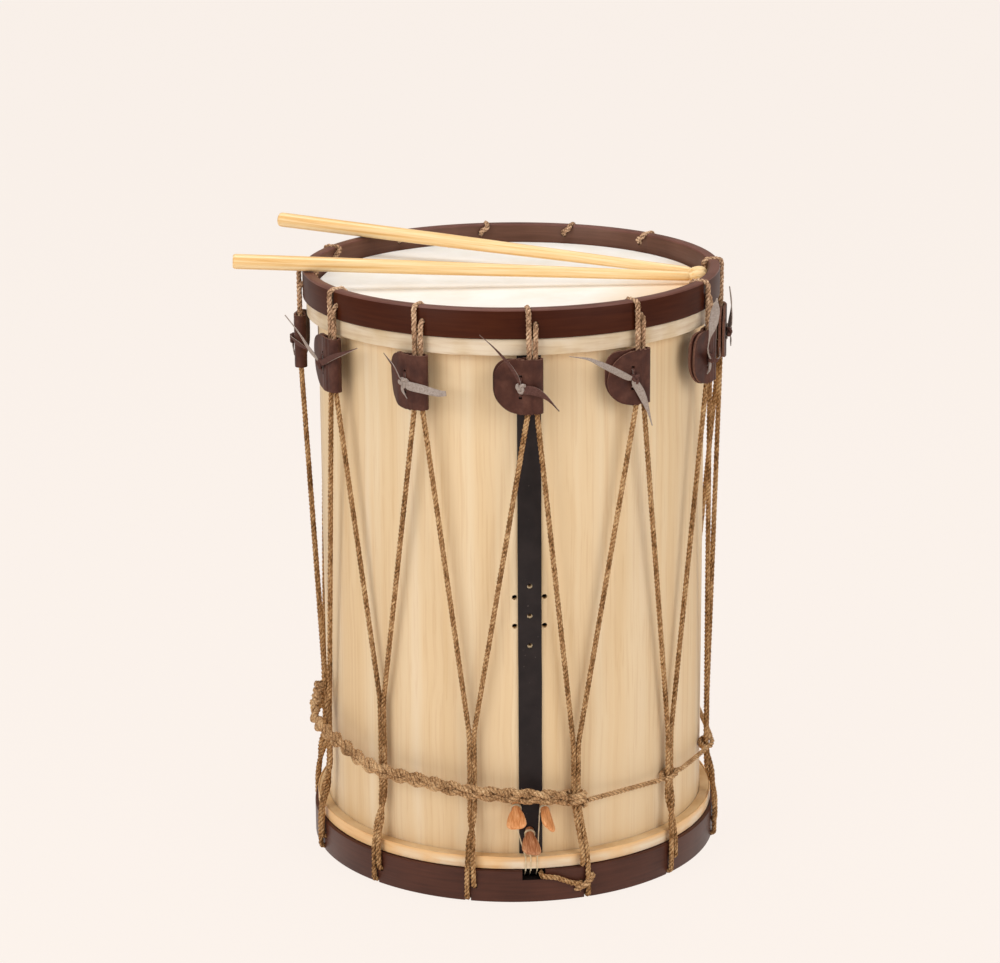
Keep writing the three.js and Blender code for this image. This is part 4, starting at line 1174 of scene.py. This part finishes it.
def makeKnot(angle, x, out, z, material):
    radius = drum["strandRadius"] + out
    curve = startTube("laceKnot", lace["knotRound"], 2)
    loops = [loop * lace["knot"] for loop in knotLoops(36)]
    addSpline(curve, [onStation(angle, x + loop.x, radius + loop.z, z + loop.y * lace["knotHigh"])
                      for loop in loops], closed=True)
    piece = finishTube(curve, material)
    smooth(piece, 60)
    return piece


# One tail's rows for a ribbon: it narrows at the knot and towards its end
def tailRows(number, x, z, path, wide, taper, turned):
    start = (0, 0, lace["front"] + lace["tailOut"])
    steps = smoothRoute([Vector(step) for step in [start] + path], 5)
    rows = []
    for i, step in enumerate(steps):
        t = i / (len(steps) - 1)
        width = wide * (0.4 + 0.6 * ease(t / 0.3)) * (1 - taper * ease((t - 0.45) / 0.55))
        twist = 0.5 * math.sin(4 * t + number)
        if turned:
            leaf = ease((t - 0.45) / 0.25)
            width = wide * (0.3 + 0.7 * leaf) * (1 - taper * ease((t - 0.8) / 0.2))
            twist = turned - 1.6 * (1 - leaf)
        rows.append((x + step.x, step.z, z + step.y, width, twist))
    return rows


def makeLace(number, angle):
    front = lace["front"]
    z = laceHeight(0)
    x = lace["x"]
    band = []
    for i in range(lace["bandSteps"] + 1):
        t = i / lace["bandSteps"] * 2 - 1
        tucked = ease((abs(t) - lace["tuckFrom"]) / (1 - lace["tuckFrom"]))
        width = lace["width"] * (1 - lace["waist"] * (1 - abs(t)))
        band.append((x, front - lace["tuck"] * tucked, laceHeight(t), width, 0.0))
    back = [(bx, -out, bz, width, 0.0) for bx, out, bz, width, _ in band]
    ribbons = [makeRibbon("laceBand", angle, band, suede, laceFace),
               makeRibbon("laceBack", angle, back, suede, laceFace)]
    for path, wide, pale, *more in tails.get(number) or tails[(number + 5) % 12 + 1]:
        taper = more[0] if more else lace["taper"]
        turned = more[1] if len(more) > 1 else 0
        rows = tailRows(number, x, z, path, wide, taper, turned)
        ribbons.append(makeRibbon("laceTail", angle, rows, suede, suede if pale else laceFace))
    knotFace = suede if number in lace["palest"] else laceFace
    ribbons.append(makeKnot(angle, x, front + lace["knotOut"], z, knotFace))
    whole = joined(ribbons, f"leatherLace_{number:02d}")
    settle(whole, f"tug_{number:02d}", "lace_leather", f"lace_{number:02d}")


for tugNumber, tugAngle in enumerate(topAngles, 1):
    makeTug(tugNumber, tugAngle)
    makeLace(tugNumber, tugAngle)
print("tugs and laces done")

# Snare pegs: a round shank whittled out to a flat, hollowed head. Rows are height, half width and half depth
peg = {"rows": [(-12, 2.9, 2.9), (-8, 3.1, 3.1), (0, 3.4, 3.4), (6.5, 3.5, 3.5), (8.6, 3.7, 3.4),
                (10, 4.8, 3.3), (12, 5.8, 3.1), (14.5, 6.6, 3.0), (18, 7.4, 2.85), (21.5, 8.0, 2.75),
                (24.5, 8.3, 2.7), (26.2, 8.1, 2.6), (28.2, 7.0, 2.3), (29.5, 5.2, 1.7), (30, 2, 0.7)],
       "sides": 24, "hollow": 0.35, "hollowFrom": 11, "hollowRun": 6, "hollowWide": 0.75}


def addGrain(piece):
    grain = piece.data.attributes.new("grain", "FLOAT_VECTOR", "POINT")
    for row, vertex in zip(grain.data, piece.data.vertices):
        row.vector = vertex.co


def makePeg(place):
    # The lower peg takes the browner copy as painted shade
    wood = shadedCherry if place["side"] == "lower" else cherry
    node = f"snare_peg_{place['side']}"
    profile = [(wide, z) for z, wide, _ in peg["rows"]]
    piece = turnLoops(f"snarePeg_{place['side']}", profile, peg["sides"], wood)
    shares = {round(z, 2): deep / wide for z, wide, deep in peg["rows"]}
    for vertex in piece.data.vertices:
        z = vertex.co.z / mm
        wide = max(math.hypot(vertex.co.x, vertex.co.y) / mm, 0.01)
        side = abs(vertex.co.x) / mm / wide
        inHead = ease((z - peg["hollowFrom"]) / peg["hollowRun"])
        scoop = peg["hollow"] * inHead * ease(1 - side / peg["hollowWide"])
        vertex.co.y *= shares[round(z, 2)] * (1 - scoop)
    capEnds(piece)
    addModifier(piece, "SUBSURF", levels=1, render_levels=1)
    applyModifiers(piece)
    addGrain(piece)
    smooth(piece, 55)
    piece.data.transform(pegMatrix(place) @ Matrix.Rotation(math.radians(place["turn"]), 4, "Z"))
    settle(piece, node, "peg_wood", node)


# Snares: gut wound on each peg, led through the gate, across under the lower head and out at the back
snare = {"radius": 0.5, "windRadius": 4.0, "turns": 2, "steps": 24, "pitch": 1.1, "start": 4.6,
         "corner": 0.8, "overLap": 0.9, "skinRadius": 157.4, "skinZ": 18.1, "rearZ": 14.9,
         "end": 2.4, "knot": 0.55, "knotOut": 1.6}


def snareRoute(place):
    droop = pegFit["droop"]
    axis = Vector((0, -math.cos(droop), -math.sin(droop)))
    up = Vector((0, -math.sin(droop), math.cos(droop)))
    turned = Matrix.Rotation(math.radians(place["angle"]), 3, "Z")
    points = []
    for i in range(snare["turns"] * snare["steps"] + 1):
        turn = math.pi + 2 * math.pi * i / snare["steps"]
        along = snare["start"] + snare["pitch"] * (snare["turns"] - i / snare["steps"])
        point = Vector((math.cos(turn) * snare["windRadius"], -drum["shellRadius"], place["z"]))
        points.append(turned @ (point + up * math.sin(turn) * snare["windRadius"] + axis * along))
    lap = drum["lapRadius"] + snare["overLap"]
    rows = [(lap, drum["bottomLap"]), (lap, drum["bottomHoop"] + 1.2), (lap - 1.2, 26.5),
            (drum["hoopInside"], 25.3), (drum["shellRadius"] + 2.3, 21.8),
            (snare["skinRadius"], snare["skinZ"]), (-snare["skinRadius"], snare["skinZ"]),
            (-drum["hoopInside"], snare["rearZ"]),
            (-drum["hoopRadius"] - snare["end"], snare["rearZ"])]
    return points + [onStation(shellCut["stripAngle"], place["gutAt"], radius, z) for radius, z in rows]


def makeSnare(place):
    route = [(point, "gut") for point in snareRoute(place)]
    points = [point for point, _ in roundCorners(route, snare["corner"])]
    curve = startTube(f"snareGut_{place['side']}", snare["radius"], 2)
    addSpline(curve, points)
    rear = -drum["hoopRadius"] - snare["knotOut"]
    loops = [loop * snare["knot"] for loop in knotLoops(30)]
    addSpline(curve, [onStation(shellCut["stripAngle"], place["gutAt"] + loop.x, rear + loop.z,
                                snare["rearZ"] + loop.y) for loop in loops], closed=True)
    piece = finishTube(curve, gut)
    smooth(piece, 60)
    settle(piece, "drum", "gut", f"snare_gut_{place['side']}")
    print("snare:", round(carried(points)[-1][4] / 1000, 2), "m")


for pegPlace in pegPlaces:
    makePeg(pegPlace)
    makeSnare(pegPlace)
print("pegs and snares done")

# Sticks: turned, with an acorn tip, a cut shoulder and a slight swell. Acorn rows are shares of its radius
# and length; neck and butt rows are a share of the radius, and the way from the acorn or from the end
stick = {"butt": 6.2, "neck": 3.8, "acorn": 5.7, "acornLength": 14, "sides": 32, "swell": 0.93,
         "swellAt": 0.6, "swellSteps": 10, "restAt": 0.48, "gap": 0.3, "tipRadius": 0.6, "endRadius": 0.3,
         "acornRows": [(0.36, 0.02), (0.64, 0.08), (0.84, 0.17), (0.95, 0.28), (1, 0.43), (0.97, 0.58),
                       (0.87, 0.74), (0.72, 0.9)],
         "neckRows": [(0.82, 0), (0.8, 0.9), (0.96, 1.7)],
         "buttRows": [(0.99, 2), (0.93, 0.7), (0.84, 0.15), (0.76, 0), (0.3, 0)],
         "places": [{"name": "front", "length": 389, "tipAngle": 84.3, "tipInset": 1.9, "heading": -87.6},
                    {"name": "rear", "length": 389, "tipAngle": 88.6, "tipInset": 2, "heading": -111.3}]}


def makeStick(place):
    butt = stick["butt"]
    neck = stick["neck"]
    acorn = stick["acorn"]
    tip = stick["acornLength"]
    length = place["length"]
    shaft = tip + neck
    swell = butt * stick["swell"]
    swellAt = length * stick["swellAt"]
    steps = stick["swellSteps"]
    rows = [(stick["tipRadius"], 0)] + [(acorn * wide, tip * far) for wide, far in stick["acornRows"]]
    rows += [(neck * wide, tip + far) for wide, far in stick["neckRows"]]
    for i in range(steps + 1):
        rows.append((neck + (swell - neck) * i / steps, shaft + (swellAt - shaft) * i / steps))
    rows += [(butt, length - butt)] + [(butt * wide, length - back) for wide, back in stick["buttRows"]]
    rows.append((stick["endRadius"], length))
    piece = turnLoops(f"drumstick_{place['name']}_turned", rows, stick["sides"], maple)
    capEnds(piece)
    addGrain(piece)
    smooth(piece, 40)
    spot = around(place["tipAngle"], drum["hoopInside"] - place["tipInset"], 0)
    run = around(place["heading"], 1, 0)
    ahead = spot.dot(run)
    toRim = -ahead + math.sqrt(ahead * ahead + drum["hoopInside"] ** 2 - spot.length_squared)
    rest = tip * stick["restAt"]
    atRim = min(max(neck + (swell - neck) * (toRim - shaft) / (swellAt - shaft), neck), butt)
    low = drum["headTop"] + stick["gap"] + acorn
    high = drum["height"] + stick["gap"] + atRim
    rise = math.atan2(high - low, toRim - rest)
    turn = Matrix.Rotation(math.atan2(run.y, run.x), 4, "Z") @ Matrix.Rotation(math.pi / 2 - rise, 4, "Y")
    tipPlace = Vector((spot.x, spot.y, low - rest * math.sin(rise))) * mm
    piece.data.transform(Matrix.Translation(tipPlace) @ turn)
    settle(piece, f"drumstick_{place['name']}", "stick_wood", f"drumstick_{place['name']}")


for stickPlace in stick["places"]:
    makeStick(stickPlace)
print("sticks done")

# Studio: a pale floor, the same pale behind it, and soft light from both sides and above. Lights are place,
# size and power, in metres and watts; the floor is dark under the drum, where no light falls
studio = {"pale": "#fcf3ec", "ambientColour": "#fff0e0", "shadeUnderDrum": "#0a0807", "darkTo": 0.15,
          "paleFrom": 0.165, "floorSize": 40, "floorDrop": 0.3, "showsPale": 0.955, "ambient": 0.34,
          "lampColour": (1, 0.98, 0.955),
          "lights": [((-1.9, -1.9, 1.5), 1.8, 37), ((1.9, -1.9, 1.5), 1.8, 30), ((0, 0.25, 2.4), 1.6, 25)],
          "aim": (0, 0, 0.27)}


def setWorld():
    world = bpy.data.worlds.new("paleStudio")
    bpy.context.scene.world = world
    world.use_nodes = True
    tree = world.node_tree
    tree.nodes.clear()
    light = addNode(tree, "LightPath")
    seen = addNode(tree, "Background", values={"Color": paint(studio["pale"]), "Strength": 1})
    lit = addNode(tree, "Background", values={"Color": paint(studio["ambientColour"]),
                                              "Strength": studio["ambient"]})
    mixed = addNode(tree, "MixShader", links={0: light.outputs["Is Camera Ray"], 1: lit, 2: seen})
    addNode(tree, "OutputWorld", links={"Surface": mixed})


# The floor shows the studio's pale to the camera and in reflections, and takes a little shadow
def setFloor():
    freshStart()
    bpy.ops.mesh.primitive_plane_add(size=studio["floorSize"], location=(0, 0, -studio["floorDrop"] * mm))
    floor = bpy.context.object
    floor.name = "paleFloor"
    material, tree, surface, where = startMaterial("paleFloor", 0.9)
    light = addNode(tree, "LightPath")
    both = addNode(tree, "Math", {"operation": "ADD", "use_clamp": True},
                   links={0: light.outputs["Is Camera Ray"], 1: light.outputs["Is Glossy Ray"]})
    # Painted shade: the floor's colour goes near-black under the drum, and shows no pale there
    away = addNode(tree, "VectorMath", {"operation": "DISTANCE"}, {1: drumAxis}, {0: where})
    clear = addNode(tree, "MapRange", values={"From Min": studio["darkTo"], "From Max": studio["paleFrom"]},
                    links={"Value": away.outputs["Value"]})
    colour = addNode(tree, "MixRGB", links={"Fac": clear},
                     values={"Color1": paint(studio["shadeUnderDrum"]), "Color2": paint(studio["pale"])})
    linkTo(tree, surface, {"Base Color": colour})
    shown = addNode(tree, "Math", {"operation": "MULTIPLY"}, {1: studio["showsPale"]}, {0: clear})
    share = addNode(tree, "Math", {"operation": "MULTIPLY"}, links={0: both, 1: shown})
    glow = addNode(tree, "Emission", values={"Color": paint(studio["pale"]), "Strength": 1})
    mixed = addNode(tree, "MixShader", links={0: share, 1: surface, 2: glow})
    linkTo(tree, tree.nodes["Material Output"], {"Surface": mixed})
    dress(floor, [material])


def setLights():
    for i, (place, size, power) in enumerate(studio["lights"]):
        lamp = bpy.data.lights.new(f"softbox{i}", "AREA")
        lamp.size = size
        lamp.energy = power
        lamp.color = studio["lampColour"]
        holder = bpy.data.objects.new(f"softbox{i}", lamp)
        bpy.context.scene.collection.objects.link(holder)
        holder.location = place
        holder.rotation_euler = (Vector(studio["aim"]) - Vector(place)).to_track_quat("-Z", "Y").to_euler()


setCamera()
setWorld()
setFloor()
setLights()
bpy.context.scene.view_settings.view_transform = "Standard"
print("studio done")
